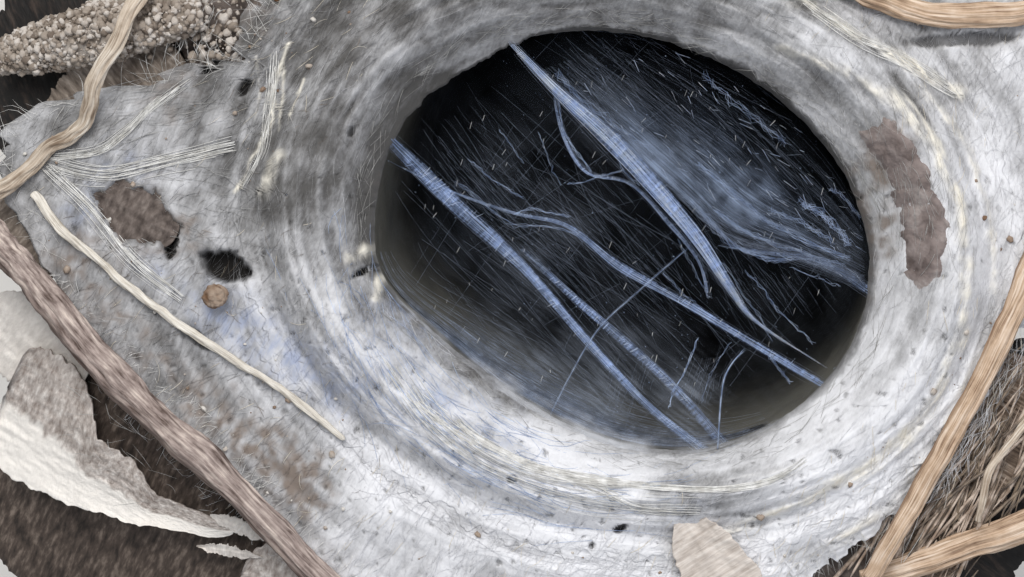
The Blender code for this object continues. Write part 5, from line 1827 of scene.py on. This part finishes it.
@dataclass
class FeltEdges:
    """Hairs over the throat's lip and round the apron's edge, and the cords laid in the front."""

    felt: Felt
    lip_hairs: int = 420
    edge_hairs: int = 1100
    steps: int = 5

    def lip(self, rng: Chance) -> Array:
        """Hairs that lean from the lip into the throat."""
        count = self.lip_hairs
        angle = rng.uniform(0.0, math.tau, count)
        length = rng.uniform(0.4, 1.7, count)
        lean = rng.normal(0.0, 0.25, count) + 0.35
        t = np.linspace(0.0, 1.0, self.steps)
        swing = np.where(rng.random(count) < 0.5, 1.0, -1.0)
        turn = angle[:, None] + swing[:, None] * t * (length * np.cos(lean))[:, None] / 11.0
        dip = np.abs(np.sin(lean) * length)[:, None] * t
        set_back = rng.uniform(0.1, 1.0, (count, 1))
        radius = throat_radius(turn.ravel()).reshape(turn.shape) + set_back - (0.5 + 0.6 * set_back) * dip
        height = self.felt.dressed(*polar(radius[:, 0], turn[:, 0]))[0]
        return columns(*polar(radius, turn), height[:, None] - 0.5 * dip + 0.05)

    def hem(self, rng: Chance) -> Array:
        """Hairs that stick out past the apron's edge."""
        count = self.edge_hairs
        angle = rng.uniform(0.0, math.tau, count)
        limit = np.minimum(twig_line(angle), stem_line(angle)) - 1.0
        start = np.minimum(apron_edge(angle), limit) - rng.uniform(0.4, 1.6, count)
        heading = angle + rng.normal(0.0, 0.7, count)
        length = rng.uniform(0.6, 2.2, count)
        t = np.linspace(0.0, 1.0, self.steps)
        bow = rng.normal(0.0, 0.3, (count, 1)) * t * t
        x = (start * np.cos(angle))[:, None] + length[:, None] * t * np.cos(heading[:, None] + bow)
        y = (start * np.sin(angle))[:, None] + length[:, None] * t * np.sin(heading[:, None] + bow)
        height = apron_top(x.ravel(), y.ravel()).reshape(x.shape)
        return columns(x, y, height + 0.05 - 0.1 * t)

    def cords(self, rng: Chance) -> Array:
        """Bundles of long threads laid along the front's and the corner's cords."""
        t = np.linspace(0.0, 1.0, 15)
        rows = []
        for line, count, spread in CORDS:
            knots = [(x, y, 0.0) for x, y in line]
            route = eased_route(knots, t)
            ahead = np.gradient(route, axis=0)
            sideways = columns(-ahead[:, 1], ahead[:, 0], 0.0)
            sideways /= np.linalg.norm(sideways, axis=1, keepdims=True)
            begin = rng.uniform(0.0, 0.22, (count, 1)) ** 1.2
            share = mix(begin, 1.0 - rng.uniform(0.0, 0.3, (count, 1)) ** 1.2, t)
            offset = rng.normal(0.0, spread, (count, 1))
            beat, phase = rng.uniform(2, 8, (count, 1)), rng.uniform(0, 6, (count, 1))
            offset = offset + 0.1 * np.sin(beat * t + phase)
            aside = np.stack([np.interp(share, t, sideways[:, axis]) for axis in range(3)], axis=-1)
            rows.append(eased_route(knots, share) + aside * offset[..., None])
        plan = np.concatenate(rows)
        flat = plan.reshape(-1, 3)
        height = self.felt.dressed(flat[:, 0], flat[:, 1])[0].reshape(plan.shape[:2])
        plan[..., 2] = height + rng.uniform(0.02, 0.14, (len(plan), 1))
        return plan

    def build(self, finishes: Finishes, rng: Chance) -> None:
        """Makes the hairs and the cords."""
        taper = np.array([1.0, 1.0, 0.9, 0.7, 0.4])
        for name, paths, tone in (
            ("lip_hairs", self.lip(rng), "grey"),
            ("hem_hairs", self.hem(rng), "pale"),
        ):
            radii = rng.uniform(0.006, 0.014, (len(paths), 1)) * taper
            settle(strands(name, paths, radii, finishes.thread[tone]), "felted_silk")
        paths = self.cords(rng)
        radii = np.repeat(rng.uniform(0.009, 0.022, (len(paths), 1)), paths.shape[1], axis=1)
        settle(strands("laid_cords", paths, radii, finishes.thread["pale"], sides=4), "felted_silk")


# Litter held by the silk


@dataclass(frozen=True)
class Limb:
    """A stem, twig or root: its route, girth and the ribs and roughness of its skin."""

    name: str
    node: str
    slot: str
    finish: str
    points: tuple[Place, ...]
    radius: float
    layer: int = 0
    taper: float = 0.75
    flat: float = 0.8
    ribs: int = 7
    rib_depth: float = 0.08
    twist: float = 0.6
    rough: float = 0.05
    weave: float = 0.1
    shade_turn: float = -1.57
    around: int = 44
    along: int = 240
    in_space: bool = False

    def length(self) -> float:
        """How long the limb's route is."""
        return float(np.linalg.norm(np.diff(np.array(self.points), axis=0), axis=1).sum())

    def centre(self, share: Array) -> Array:
        """Places along the limb's middle."""
        route = eased_route(self.points, share)
        if self.in_space:
            return route
        x, y = route[..., 0], route[..., 1]
        rest = layer_top(self.layer, x, y) + 0.18 + self.radius * self.flat
        return columns(x, y, rest + route[..., 2])

    def mould(self, u: Array, v: Array, _side: Array) -> Moulded:
        """Places the limb's skin round its middle line."""
        stops = np.unique(v)
        middle = self.centre(stops)
        ahead = np.gradient(middle, stops, axis=0)
        ahead /= np.linalg.norm(ahead, axis=1, keepdims=True)
        sideways, lift = beside_and_above(ahead)
        row = np.searchsorted(stops, v)
        turn = (u % 1.0) * math.tau
        run = v * self.length()
        skin = columns(np.cos(turn), np.sin(turn), run * 0.35)
        rough = self.rough * lumps(skin, (0.45, 0.45, 0.5), 3.0 + self.radius * 7.0, 3)
        phase = self.ribs * (turn + self.twist * v * math.tau) + 0.8 * lumps(skin, 1.4, 9.0)
        ribs = self.rib_depth * np.cos(phase)
        end = np.sqrt(np.clip(np.minimum(v, 1.0 - v) / 0.012, 0.02, 1.0))
        girth = self.radius * mix(1.0, self.taper, v) * (1.0 + ribs) * end + rough * end
        bow = self.weave * lumps(columns(run, 0.0 * run), 2.6, self.radius * 31.0, 2)
        swell = 1.0 + 0.16 * lumps(columns(run, 0.0 * run), 3.4, self.radius * 13.0, 2)
        out = girth * swell * np.cos(turn) + bow
        up = girth * self.flat * swell * np.sin(turn)
        places = middle[row] + sideways[row] * out[:, None] + lift[row] * up[:, None]
        # under paints shade on the side that faces shade_turn: painted shade of the limb's own form.
        facing = np.cos(turn - self.shade_turn)
        return places, {"under": 0.75 * smooth((facing - 0.15) / 0.75)}

    def build(self, finishes: Finishes) -> None:
        """Makes the limb and puts it in its node's place."""
        lay = (math.tau * self.radius, self.length())
        blank = band_blank(self.around, self.along)
        piece = moulded(self.name, blank, self.mould, [finishes.plant[self.finish]], lay, weld=True)
        settle(piece, self.slot, self.node)


@dataclass(frozen=True)
class Flake:
    """A leaf or a flake of bark lying in the litter, with its veins, torn edge and curl."""

    name: str
    nodes: tuple[str, ...]
    slot: str
    finish: str
    spot: tuple[float, float]
    length: float
    width: float
    heading: float
    layer: int
    tip: float = 0.5
    torn: float = 0.2
    curl: float = 0.5
    veins: float = 0.07
    thick: float = 0.5
    raise_by: float = 0.0
    along: int = 110
    across: int = 32
    wedge: float = 0.0
    bleached: float = 0.0
    rim_share: float = 0.3
    cut: tuple[tuple[float, float], ...] = ()

    def mould(self, u: Array, v: Array, side: Array) -> Moulded:
        """Places the flake's two faces."""
        turn = math.radians(self.heading)
        profile = np.maximum(1.0 - np.abs(2.0 * u - 1.0) ** 2.2, 0.0) ** self.tip
        half = 0.5 * self.width * mix(0.06, 1.0, profile)
        which = np.round(v)
        half = half * mix(1.0 + self.wedge, 1.0 - self.wedge, u)
        half = half * (1.0 + self.torn * lumps(columns(9.0 * u, 2.0 * which), 1.0, self.length))
        frayed = lumps(columns(34.0 * u, 5.0 * which), 1.0, self.length, 3)
        half = half * (1.0 + 0.5 * self.torn * frayed)
        forward = (u - 0.5) * self.length
        reach = np.interp(u, *zip(*self.cut)) + 0.04 * frayed if self.cut else 1.0
        sideways = mix(-half, half * reach, v)
        x = self.spot[0] + forward * math.cos(turn) - sideways * math.sin(turn)
        y = self.spot[1] + forward * math.sin(turn) + sideways * math.cos(turn)
        base = layer_top(self.layer, x, y)
        if self.layer == 0:
            base = base + 0.2 + self.thick
        free = smooth((np.hypot(x, y) - apron_edge(np.arctan2(y, x)) - 0.3) / 2.5) if self.layer else 1.0
        cup = self.curl * (np.abs(2.0 * v - 1.0) ** 2.5 + 0.5 * lumps(columns(x, y), 4.0, self.length))
        midrib = bell(sideways, 0.16)
        branch = np.abs(np.sin((forward - 0.9 * np.abs(sideways)) * math.tau / 2.3))
        ribs = self.veins * (1.6 * midrib + 0.8 * bell(1.0 - branch, 0.12))
        grain = 0.09 * lumps(columns(forward, 4.0 * sideways), 1.6, self.width, 3)
        z = base + self.raise_by + free * cup + (ribs + grain) * (1.0 - side) - self.thick * side * 0.8
        # Darker on the underside, a painted shade under the flake, and in thin lines midway between the
        # side veins.
        worn = np.where(side > 0.5, 0.6, 0.0) + 0.35 * smooth(1.0 - branch * 8.0)
        rim = self.bleached * smooth((self.rim_share + 0.05 * frayed - v) / 0.08) * (side < 0.5)
        return columns(x, y, z), {"under": worn, "bleached": rim}

    def build(self, finishes: Finishes) -> None:
        """Makes the flake and puts it in its nodes' place."""
        lay = (self.length, self.width)
        blank = sheet_blank(self.along, self.across)
        piece = moulded(self.name, blank, self.mould, [finishes.plant[self.finish]], lay)
        settle(piece, self.slot, *self.nodes)


LIMBS = [
    Limb("twig_bark_left", "twig_left", "weathered_twig", "weathered_twig_bark", ((-33.6, 0.4, 0),
        (-31.2, -2.2, 0), (-26.4, -7.5, 0), (-20.7, -12.7, 0), (-14.5, -19.1, 0)), 0.82, 0, taper=0.95,
        flat=0.85, ribs=11, rib_depth=0.035, twist=0.3, rough=0.12, weave=0.12, shade_turn=-0.3,
        around=60, along=320),
    Limb("grass_culm_back_left", "stem_back_left", "dead_grass", "dry_grass_culm_pale",
        ((-23.9, 14.2, 0.8), (-25.2, 11.2, 1.7), (-27.2, 7.9, 1.5), (-28.0, 5.7, 0.3), (-29.9, 4.5, 0.0),
        (-32.3, 2.5, 0.1), (-34.2, 1.4, 0.2)), 0.4, 0, taper=0.95, flat=0.55, ribs=6, rib_depth=0.16,
        twist=1.4, weave=0.2, shade_turn=-1.2, around=40, along=280),
    Limb("silk_rootlet_left", "rootlet_left", "dead_grass", "silk_coated_rootlet", ((-31.0, 2.0, 0),
        (-28.6, -0.5, 0), (-25.9, -2.6, 0), (-23.4, -4.6, 0), (-19.8, -6.9, 0), (-17.2, -8.5, 0),
        (-14.4, -10.8, 0)), 0.24, 0, taper=0.6, flat=0.75, ribs=5, rib_depth=0.12, twist=2.4, rough=0.07,
        weave=0.16, around=24, along=300),
    Limb("grass_culm_right", "stem_right", "dead_grass", "dry_grass_culm_tan", ((23.4, 4.6, 0),
        (21.3, -0.8, 0), (19.6, -4.8, 0), (17.4, -9.2, 0), (14.8, -14.0, 0), (12.5, -18.0, 0)), 0.75, 0,
        taper=0.55, flat=0.6, ribs=8, rib_depth=0.09, twist=0.2, weave=0.12, shade_turn=-0.6, along=260),
    Limb("grass_culm_front_right", "stem_front_right", "dead_grass", "dry_grass_culm_tan",
        ((24.4, -13.6, 0.3), (20.5, -15.4, 0.2), (16.4, -16.8, 0.1), (12.3, -18.2, 0.1)), 0.84, 1,
        taper=0.7, flat=0.7, ribs=10, rib_depth=0.09, twist=0.15, rough=0.06, weave=0.08, shade_turn=-1.2,
        around=52, along=210),
    Limb("curved_rootlet_right", "twig_front_right", "weathered_twig", "dry_grass_culm_pale",
        ((22.9, -7.2, 0.1), (20.8, -9.6, 0.3), (18.9, -12.0, 0.3), (18.1, -15.0, 0.2)), 0.24, 0,
        taper=0.7, ribs=5, rib_depth=0.1, twist=1.6, rough=0.06, weave=0.2, around=28, along=180),
    Limb("grass_culm_back_right", "stem_back_right", "dead_grass", "dry_grass_culm_tan", ((8.2, 14.6, 0),
        (12.1, 12.4, 0), (15.7, 11.1, 0), (20.5, 11.2, 0), (25.6, 12.6, 0)), 0.7, 0, taper=0.8, flat=0.6,
        ribs=9, rib_depth=0.1, twist=0.3, shade_turn=-1.3),
    Limb("twig_bark_back", "twig_back", "weathered_twig", "weathered_twig_bark", ((-17.5, 14.2, 0),
        (-12.0, 16.4, 0), (-5.0, 17.6, 0), (2.0, 18.2, 0)), 0.6, 0, flat=0.9, ribs=9, rib_depth=0.07,
        twist=0.4, rough=0.08, weave=0.12, around=36, along=180),
]

FLAKES = [
    Flake("pale_leaf_back_left", ("leaf_back_left",), "pale_dead_leaf", "dead_leaf_pale", (-26.6, 6.4),
        9.0, 6.6, 40.0, 1),
    Flake("brown_leaf_left", ("leaf_left",), "dark_dead_leaf", "dead_leaf_dark", (-23.2, -1.2), 10.0, 5.6,
        -22.0, 1, tip=0.45, curl=0.3),
    Flake("bleached_bark_left", ("bark_left",), "bleached_bark", "bleached_bark_fibres", (-26.4, -11.8),
        14.5, 6.8, -27.0, 1, tip=0.2, torn=0.06, veins=0.0, thick=0.55, raise_by=0.25, along=180,
        across=84, wedge=0.5, bleached=0.9, rim_share=0.5, cut=((0.0, 0.9), (0.24, 0.66), (0.31, 0.5),
        (0.4, 0.05), (0.55, 0.05), (0.69, -0.35), (1.0, -0.3))),
    Flake("bleached_flake_left", (), "bleached_bark", "bleached_bark_fibres", (-31.4, -6.2), 6.8, 4.6,
        -38.0, 1, tip=0.3, torn=0.12, curl=0.0, veins=0.0, thick=0.3, raise_by=-0.3, bleached=0.6,
        rim_share=2.0),
    Flake("torn_bark_strip_upper", (), "bleached_bark", "bleached_bark_fibres", (-19.9, -15.5), 3.6, 0.8,
        -22.0, 1, tip=1.0, torn=0.5, curl=0.2, veins=0.0, thick=0.3, raise_by=0.3, along=120, across=20,
        wedge=0.3, bleached=0.5, rim_share=2.0),
    Flake("torn_bark_strip_lower", (), "bleached_bark", "bleached_bark_fibres", (-20.6, -16.8), 3.6, 0.6,
        -9.0, 1, tip=1.2, torn=0.6, curl=0.2, veins=0.0, thick=0.3, raise_by=0.2, along=120, across=20,
        wedge=0.4, bleached=0.4, rim_share=2.0),
    Flake("pale_leaf_gap_left", (), "pale_dead_leaf", "dead_leaf_pale", (-31.4, 0.2), 5.8, 4.4, -48.0, 1,
        tip=0.4, curl=0.3),
    Flake("bleached_flake_front_left", ("leaf_front_left",), "bleached_bark", "bleached_bark_fibres",
        (-14.2, -19.4), 12.0, 6.5, -12.0, 1, curl=0.4, veins=0.0),
    Flake("brown_bark_right", ("bark_right",), "brown_bark", "brown_bark_fibres", (17.8, -12.8), 14.0,
        4.6, 60.0, 1, tip=0.3, torn=0.35, veins=0.0, thick=0.55, along=160, across=44),
    Flake("pale_leaf_right", ("leaf_right",), "pale_dead_leaf", "dead_leaf_pale", (24.6, 5.5), 13.0, 6.5,
        78.0, 1, tip=0.55, torn=0.15),
    Flake("pale_leaf_back", ("leaf_back",), "pale_dead_leaf", "dead_leaf_pale", (-6.0, 19.6), 14.0, 6.5,
        8.0, 1, tip=0.6, torn=0.15),
    Flake("dark_leaf_back_right", ("leaf_back_right",), "dark_dead_leaf", "dead_leaf_dark", (12.5, 18.4),
        12.0, 6.0, -28.0, 1, tip=0.55, torn=0.15),
    Flake("dark_leaf_front", ("leaf_front",), "dark_dead_leaf", "dead_leaf_dark", (3.0, -20.4), 12.0, 5.0,
        6.0, 1),
    Flake("dark_leaf_deep_left", ("leaf_deep_left",), "dark_dead_leaf", "dead_leaf_dark", (-26.3, -14.3),
        16.4, 14.4, -26.0, 2, tip=0.06, torn=0.08, curl=0.3),
    # These two fill the litter's dark gaps with the near-black leaf, a painted shadow.
    Flake("black_leaf_deep_back_left", ("leaf_deep_back_left",), "dark_dead_leaf", "leaf_painted_shadow_black",
        (-29.1, 8.9), 11.5, 10.2, 25.0, 2, tip=0.25, torn=0.14, curl=0.3),
    Flake("black_leaf_deep_right", ("leaf_deep_right",), "dark_dead_leaf", "leaf_painted_shadow_black",
        (19.6, -12.6), 15.0, 9.0, 52.0, 2, tip=0.3, curl=0.3),
    Flake("brown_leaf_gap_back_left", (), "dark_dead_leaf", "dead_leaf_brown", (-20.6, 11.4), 8.0, 5.6,
        80.0, 2, tip=0.4, torn=0.25, curl=0.3),
    Flake("brown_leaf_gap_front", (), "dark_dead_leaf", "dead_leaf_brown", (11.4, -16.6), 8.0, 4.8, 38.0,
        1, curl=0.3),
    Flake("bleached_leaf_tip_front", ("leaf_tip_front",), "bleached_leaf", "bleached_leaf_tip",
        (5.0, -18.0), 8.5, 3.6, -58.0, 0, tip=0.8, torn=0.1, curl=0.15, veins=0.05, thick=0.4),
    Flake("leaf_seen_through_slot", (), "dark_dead_leaf", "dead_leaf_brown", (-25.3, 0.9), 5.0, 3.2,
        -28.0, 0, curl=0.0, veins=0.06, thick=0.12, raise_by=-0.62),
]


@dataclass(frozen=True)
class Splinters:
    """Fine fibres and splinters strewn over a patch of litter, most of them running one way."""

    name: str
    tone: str
    spot: tuple[float, float]
    spread: tuple[float, float]
    heading: float
    scatter: float
    count: int
    length: tuple[float, float]
    radius: tuple[float, float]
    layer: int = 1
    lift: float = 0.5

    def build(self, finishes: Finishes, rng: Chance) -> None:
        """Makes the patch's splinters."""
        strewn = rng.normal(0.0, 1.0, (2, self.count, 1)).clip(-1.7, 1.7)
        run, aside = strewn * np.array(self.spread)[:, None, None]
        turn = math.radians(self.heading)
        course = turn + np.radians(rng.normal(0.0, self.scatter, (self.count, 1)))
        t = np.linspace(-0.5, 0.5, 6)
        half = rng.uniform(*self.length, (self.count, 1)) * t
        bow = rng.normal(0.0, 0.35, (self.count, 1)) * (0.25 - t * t)
        x = self.spot[0] + run * math.cos(turn) - aside * math.sin(turn)
        y = self.spot[1] + run * math.sin(turn) + aside * math.cos(turn)
        x = x + half * np.cos(course) - bow * np.sin(course)
        y = y + half * np.sin(course) + bow * np.cos(course)
        height = layer_top(self.layer, x.ravel(), y.ravel()).reshape(x.shape)
        paths = columns(x, y, height + self.lift * rng.uniform(0.5, 1.1, (self.count, 1)))
        taper = np.array([0.4, 0.9, 1.0, 1.0, 0.8, 0.3])
        radii = rng.uniform(*self.radius, (self.count, 1)) * taper
        settle(strands(self.name, paths, radii, finishes.thread[self.tone], sides=5), "dead_grass")


SPLINTERS = [
    Splinters("hairs_dark_leaf_left", "grey", (-24.0, -10.6), (2.6, 0.9), -50.0, 40.0, 18,
        length=(0.5, 2.0), radius=(0.006, 0.013), lift=0.75),
    Splinters("splinters_front_right", "straw", (16.9, -13.4), (3.4, 1.5), 60.0, 9.0, 120,
        length=(1.4, 7.0), radius=(0.03, 0.13), lift=0.85),
    Splinters("splinters_brown_front_right", "brown", (17.6, -13.0), (3.4, 1.7), 60.0, 16.0, 90,
        length=(1.0, 5.0), radius=(0.03, 0.1), lift=0.95),
    Splinters("wisps_front_right", "pale", (15.8, -11.6), (3.0, 0.9), 60.0, 14.0, 130, length=(0.8, 4.0),
        radius=(0.007, 0.018), lift=1.1),
    Splinters("hairs_bark_left", "grey", (-27.4, -11.4), (3.2, 1.3), -24.0, 20.0, 24, length=(0.5, 2.2),
        radius=(0.006, 0.014), lift=0.75),
    Splinters("wisps_back_left", "grey", (-22.6, 10.2), (2.4, 1.0), 75.0, 30.0, 90, length=(0.6, 2.4),
        radius=(0.008, 0.02), lift=1.0),
]


CRUST_ROOTS = [
    ("front", 250.0, 5.0, 272.0, 38.0, 0.35),
    ("right", -22.0, 8.0, -46.0, 34.0, 0.3),
    ("back", 112.0, 6.0, 84.0, 39.0, 0.32),
    ("left", 188.0, 10.0, 164.0, 30.0, 0.28),
]


@dataclass
class SoilAndRoots:
    """The crumbly ridge, the clay in the collar, loose grains, and roots down the lining."""

    felt: Felt
    ridge_grains: int = 1750
    gap_grains: int = 260
    felt_grains: int = 420
    crust_grains: int = 1650

    def ridge_place(self, u: Array, v: Array, side: Array) -> Array:
        """A place on the soil ridge's mound, as in the solid."""
        angle = v * math.pi
        girth = np.maximum(np.sin(math.pi * mix(0.06, 0.94, u)), 0.0) ** 0.4
        along = mix(-5.8, 5.8, u)
        across = -1.55 * np.cos(angle) * girth * (1.0 + 0.2 * lumps(columns(along, v), 2.0, 3.0))
        x = -27.6 + along * 0.98 - across * 0.18
        y = 10.3 + along * 0.18 + across * 0.98
        base = layer_top(1, x, y) + 0.3
        lift = 1.5 * np.sin(angle) * girth * (1.0 + 0.25 * lumps(columns(along, 4.0 * v), 1.6, 5.0))
        return columns(x, y, np.where(side > 0.5, base, base + 0.5 + lift))

    def ridge_mould(self, u: Array, v: Array, side: Array) -> Moulded:
        """The ridge's mound, roughened."""
        places = self.ridge_place(u, v, side)
        rough = 0.3 * lumps(places, 0.8, 2.0, 3) * (side < 0.5)
        places[:, 2] += rough - 0.15
        return places, {"tint": 0.5 + 0.4 * lumps(places, 1.1, 7.0, 2)}

    def clay_mould(self, u: Array, v: Array, side: Array) -> Moulded:
        """The clay patch, lying thin on the collar's inner slope with cracks and a ragged edge."""
        ragged = lumps(columns(12.0 * u, 6.0 * v), 1.6, 17.0, 3)
        middle = np.sin(np.pi * u)
        angle = np.radians(mix(-15.0, 29.0, u))
        throat = throat_radius(angle)
        radius = throat + mix(0.5, 4.5 + 0.6 * ragged, v) * (0.55 + 0.45 * middle) + 0.5 * (1.0 - middle)
        x, y = polar(radius, angle)
        border = np.minimum(np.minimum(u, 1.0 - u) * 5.0, np.minimum(v, 1.0 - v) * 3.2)
        worn = 0.4 * lumps(columns(x, y), 0.9, 23.0, 4)
        edge = smooth(border) * smooth(border * 1.4 - 0.3 + worn)
        lump = 0.22 * lumps(columns(x, y), 1.3, 5.0, 3)
        cracks = -0.22 * smooth((np.abs(lumps(columns(x, y), 1.9, 13.0, 2)) * -9.0 + 0.9))
        height = self.felt.base(x, y)
        top = height - 0.2 + (0.46 + 0.8 * lump + 0.6 * cracks) * edge
        return columns(x, y, np.where(side > 0.5, height - 0.2, top)), {"tint": 0.45 + 0.5 * ragged}

    def grain_mould(self, x: Array, y: Array, z: Array) -> Moulded:
        """The tan grain, a rounded lump with dents."""
        ball = columns(x, y, z)
        ball = ball * (0.62 * (1.0 + 0.22 * lumps(ball, 0.55, 3.0, 3)))[:, None] * [1.0, 1.0, 0.85]
        ball[:, :2] += [-21.0, -3.4]
        ball[:, 2] += layer_top(0, np.array([-21.0]), np.array([-3.4]))[0] + 0.62
        return ball, {"tint": 0.2 + 0.3 * lumps(ball, 0.5, 4.0, 2)}

    def build(self, finishes: Finishes, rng: Chance) -> None:
        """Makes every piece of soil, and the roots."""
        mound = moulded("soil_ridge_mound", sheet_blank(100, 40), self.ridge_mould, [finishes.loam_crumb])
        settle(mound, "dry_clay", "soil_ridge")
        u, v = rng.random((2, self.ridge_grains))
        centres = self.ridge_place(u, v, np.zeros_like(u))
        sizes = 0.06 + 0.2 * rng.random(self.ridge_grains) ** 2.5
        settle(pebbles("soil_ridge_grains", centres, sizes, finishes.loam_crumb, rng), "dry_clay")
        x = rng.normal(-21.2, 1.5, self.gap_grains)
        y = rng.normal(10.4, 1.1, self.gap_grains)
        sizes = 0.05 + 0.24 * rng.random(self.gap_grains) ** 2.5
        height = layer_top(1, x, y) + 0.35 + 0.3 * sizes
        centres = columns(x, y, height)
        settle(pebbles("soil_gap_grains", centres, sizes, finishes.loam_crumb, rng), "dry_clay")

        clay = moulded("clay_patch_crust", sheet_blank(120, 48), self.clay_mould, [finishes.clay])
        settle(clay, "dry_clay", "clay_patch")
        ball = bmesh.new()
        bmesh.ops.create_icosphere(ball, subdivisions=5, radius=1.0)
        grain = moulded("tan_grain", ball, self.grain_mould, [finishes.grain])
        settle(grain, "tan_grain", "grain_left")

        angle = rng.uniform(0.0, math.tau, self.felt_grains)
        inner, outer = COLLAR_FOOT.radius(angle) - 1.0, apron_edge(angle) - 0.8
        away = mix(inner, outer, rng.random(self.felt_grains))
        x, y = polar(away, angle)
        keep = rng.random(self.felt_grains) < np.where(x < -14.0, 1.0, 0.3)
        x, y = x[keep], y[keep]
        height = self.felt.dressed(x, y)[0]
        sizes = 0.04 + 0.16 * rng.random(len(x)) ** 3
        centres = columns(x, y, height + 0.3 * sizes)
        settle(pebbles("grains_on_felt", centres, sizes, finishes.grain, rng), "tan_grain")

        angle = rng.uniform(0.0, math.tau, self.crust_grains)
        depth = rng.uniform(3.2, 44.6, self.crust_grains)
        centres = lining_point(angle, depth, crust_wall(angle, depth) + 0.12)
        rounding = foot_rounding(depth)[:, None]
        centre_x, centre_y = lining_centre(depth)
        middle = columns(centre_x, centre_y, -depth)
        centres = mix(middle, centres, rounding)
        sizes = 0.12 + 0.5 * rng.random(self.crust_grains) ** 3
        centres[:, 2] = np.maximum(centres[:, 2], sizes * 1.3 - MOUTH[2])
        settle(pebbles("crumbs_on_crust", centres, sizes, finishes.grain, rng), "soil_bound_silk")

        share = np.linspace(0.0, 1.0, 17)
        for side, start, top, end, bottom, radius in CRUST_ROOTS:
            angle = np.radians(mix(start, end, share) + 5.0 * np.sin(6.0 * share))
            depth = mix(top, bottom, share)
            route = lining_point(angle, depth, crust_wall(angle, depth) + radius + 0.3)
            points = tuple(tuple(place) for place in route)
            names = (f"crust_root_{side}", f"root_{side}", "weathered_twig", "weathered_twig_bark")
            shape = {"taper": 0.7, "flat": 1.0, "ribs": 4, "rough": 0.06, "weave": 0.0, "in_space": True}
            Limb(*names, points, radius, **shape, around=20, along=170).build(finishes)


# Camera, light and floor


@dataclass(frozen=True)
class Studio:
    """The plain floor, soft light and camera, which looks straight down as the photograph does."""

    eye: Place = (-0.007, -0.005, 0.192)
    lens_mm: float = 100.0
    floor_half: float = 1.5

    def lamp(self, name: str, place: Place, size: float, power: float, tint: str) -> None:
        """Hangs a soft square lamp that faces the mouth."""
        data = bpy.data.lights.new(name, "AREA")
        data.size = size
        data.energy = power
        data.color = linear(tint)[:3]
        made = bpy.data.objects.new(name, data)
        made.location = place
        target = np.array([0.0, 0.0, 0.046]) - place
        made.rotation_euler = (
            math.atan2(math.hypot(target[0], target[1]), -target[2]),
            0.0,
            math.atan2(-target[0], target[1]),
        )
        bpy.context.scene.collection.objects.link(made)

    def build(self) -> None:
        """Makes the floor, the light and the camera."""
        made, tree = new_material("matt_pale_board")
        where = add(tree, "TexCoord").outputs["Object"]
        speck = grain_noise(tree, where, 3.0, 3.0)
        colour = blended(tree, speck, linear("#D9D6D1"), linear("#E2E0DC"))
        finished(tree, colour, None, {"Roughness": 0.9})
        shape = bmesh.new()
        bmesh.ops.create_grid(shape, x_segments=2, y_segments=2, size=self.floor_half)
        mesh = bpy.data.meshes.new("floor")
        shape.to_mesh(mesh)
        shape.free()
        mesh.materials.append(made)
        floor = bpy.data.objects.new("floor", mesh)
        bpy.context.scene.collection.objects.link(floor)
        self.lamp("key", (-0.04, 0.19, 0.34), size=0.22, power=1.1, tint="#FFFDFA")
        self.lamp("fill", (0.20, -0.06, 0.30), size=0.30, power=0.28, tint="#F2F5FF")
        world = bpy.data.worlds.new("soft_room")
        world.use_nodes = True
        backdrop = world.node_tree.nodes["Background"]
        backdrop.inputs["Color"].default_value = linear("#E8ECF2")
        backdrop.inputs["Strength"].default_value = 0.44
        scene = bpy.context.scene
        scene.world = world
        scene.view_settings.view_transform = "Standard"
        data = bpy.data.cameras.new("camera")
        data.lens = self.lens_mm
        data.sensor_width = 36.0
        data.clip_start = 0.01
        camera = bpy.data.objects.new("camera", data)
        camera.location = self.eye
        scene.collection.objects.link(camera)
        scene.camera = camera
        log.info("studio: floor, two lamps and a camera")


def main() -> None:
    """Builds and dresses the part."""
    logging.basicConfig(level=logging.INFO, format="%(name)s: %(message)s")
    Studio().build()
    finishes = Finishes()
    felt = Felt()
    SilkCollar(felt).build(finishes)
    SilkApron(felt).build(finishes)
    BurrowLining().build(finishes)
    rng = np.random.default_rng(SEED)
    for ribbon in RIBBONS:
        ribbon.build(finishes, rng)
    Veils().build(finishes, rng)
    for zone in ZONES:
        zone.build(felt, finishes, rng)
    FeltEdges(felt).build(finishes, rng)
    for limb in LIMBS:
        limb.build(finishes)
    for flake in FLAKES:
        flake.build(finishes)
    for splinters in SPLINTERS:
        splinters.build(finishes, rng)
    SoilAndRoots(felt).build(finishes, rng)


if __name__ == "__main__":
    main()
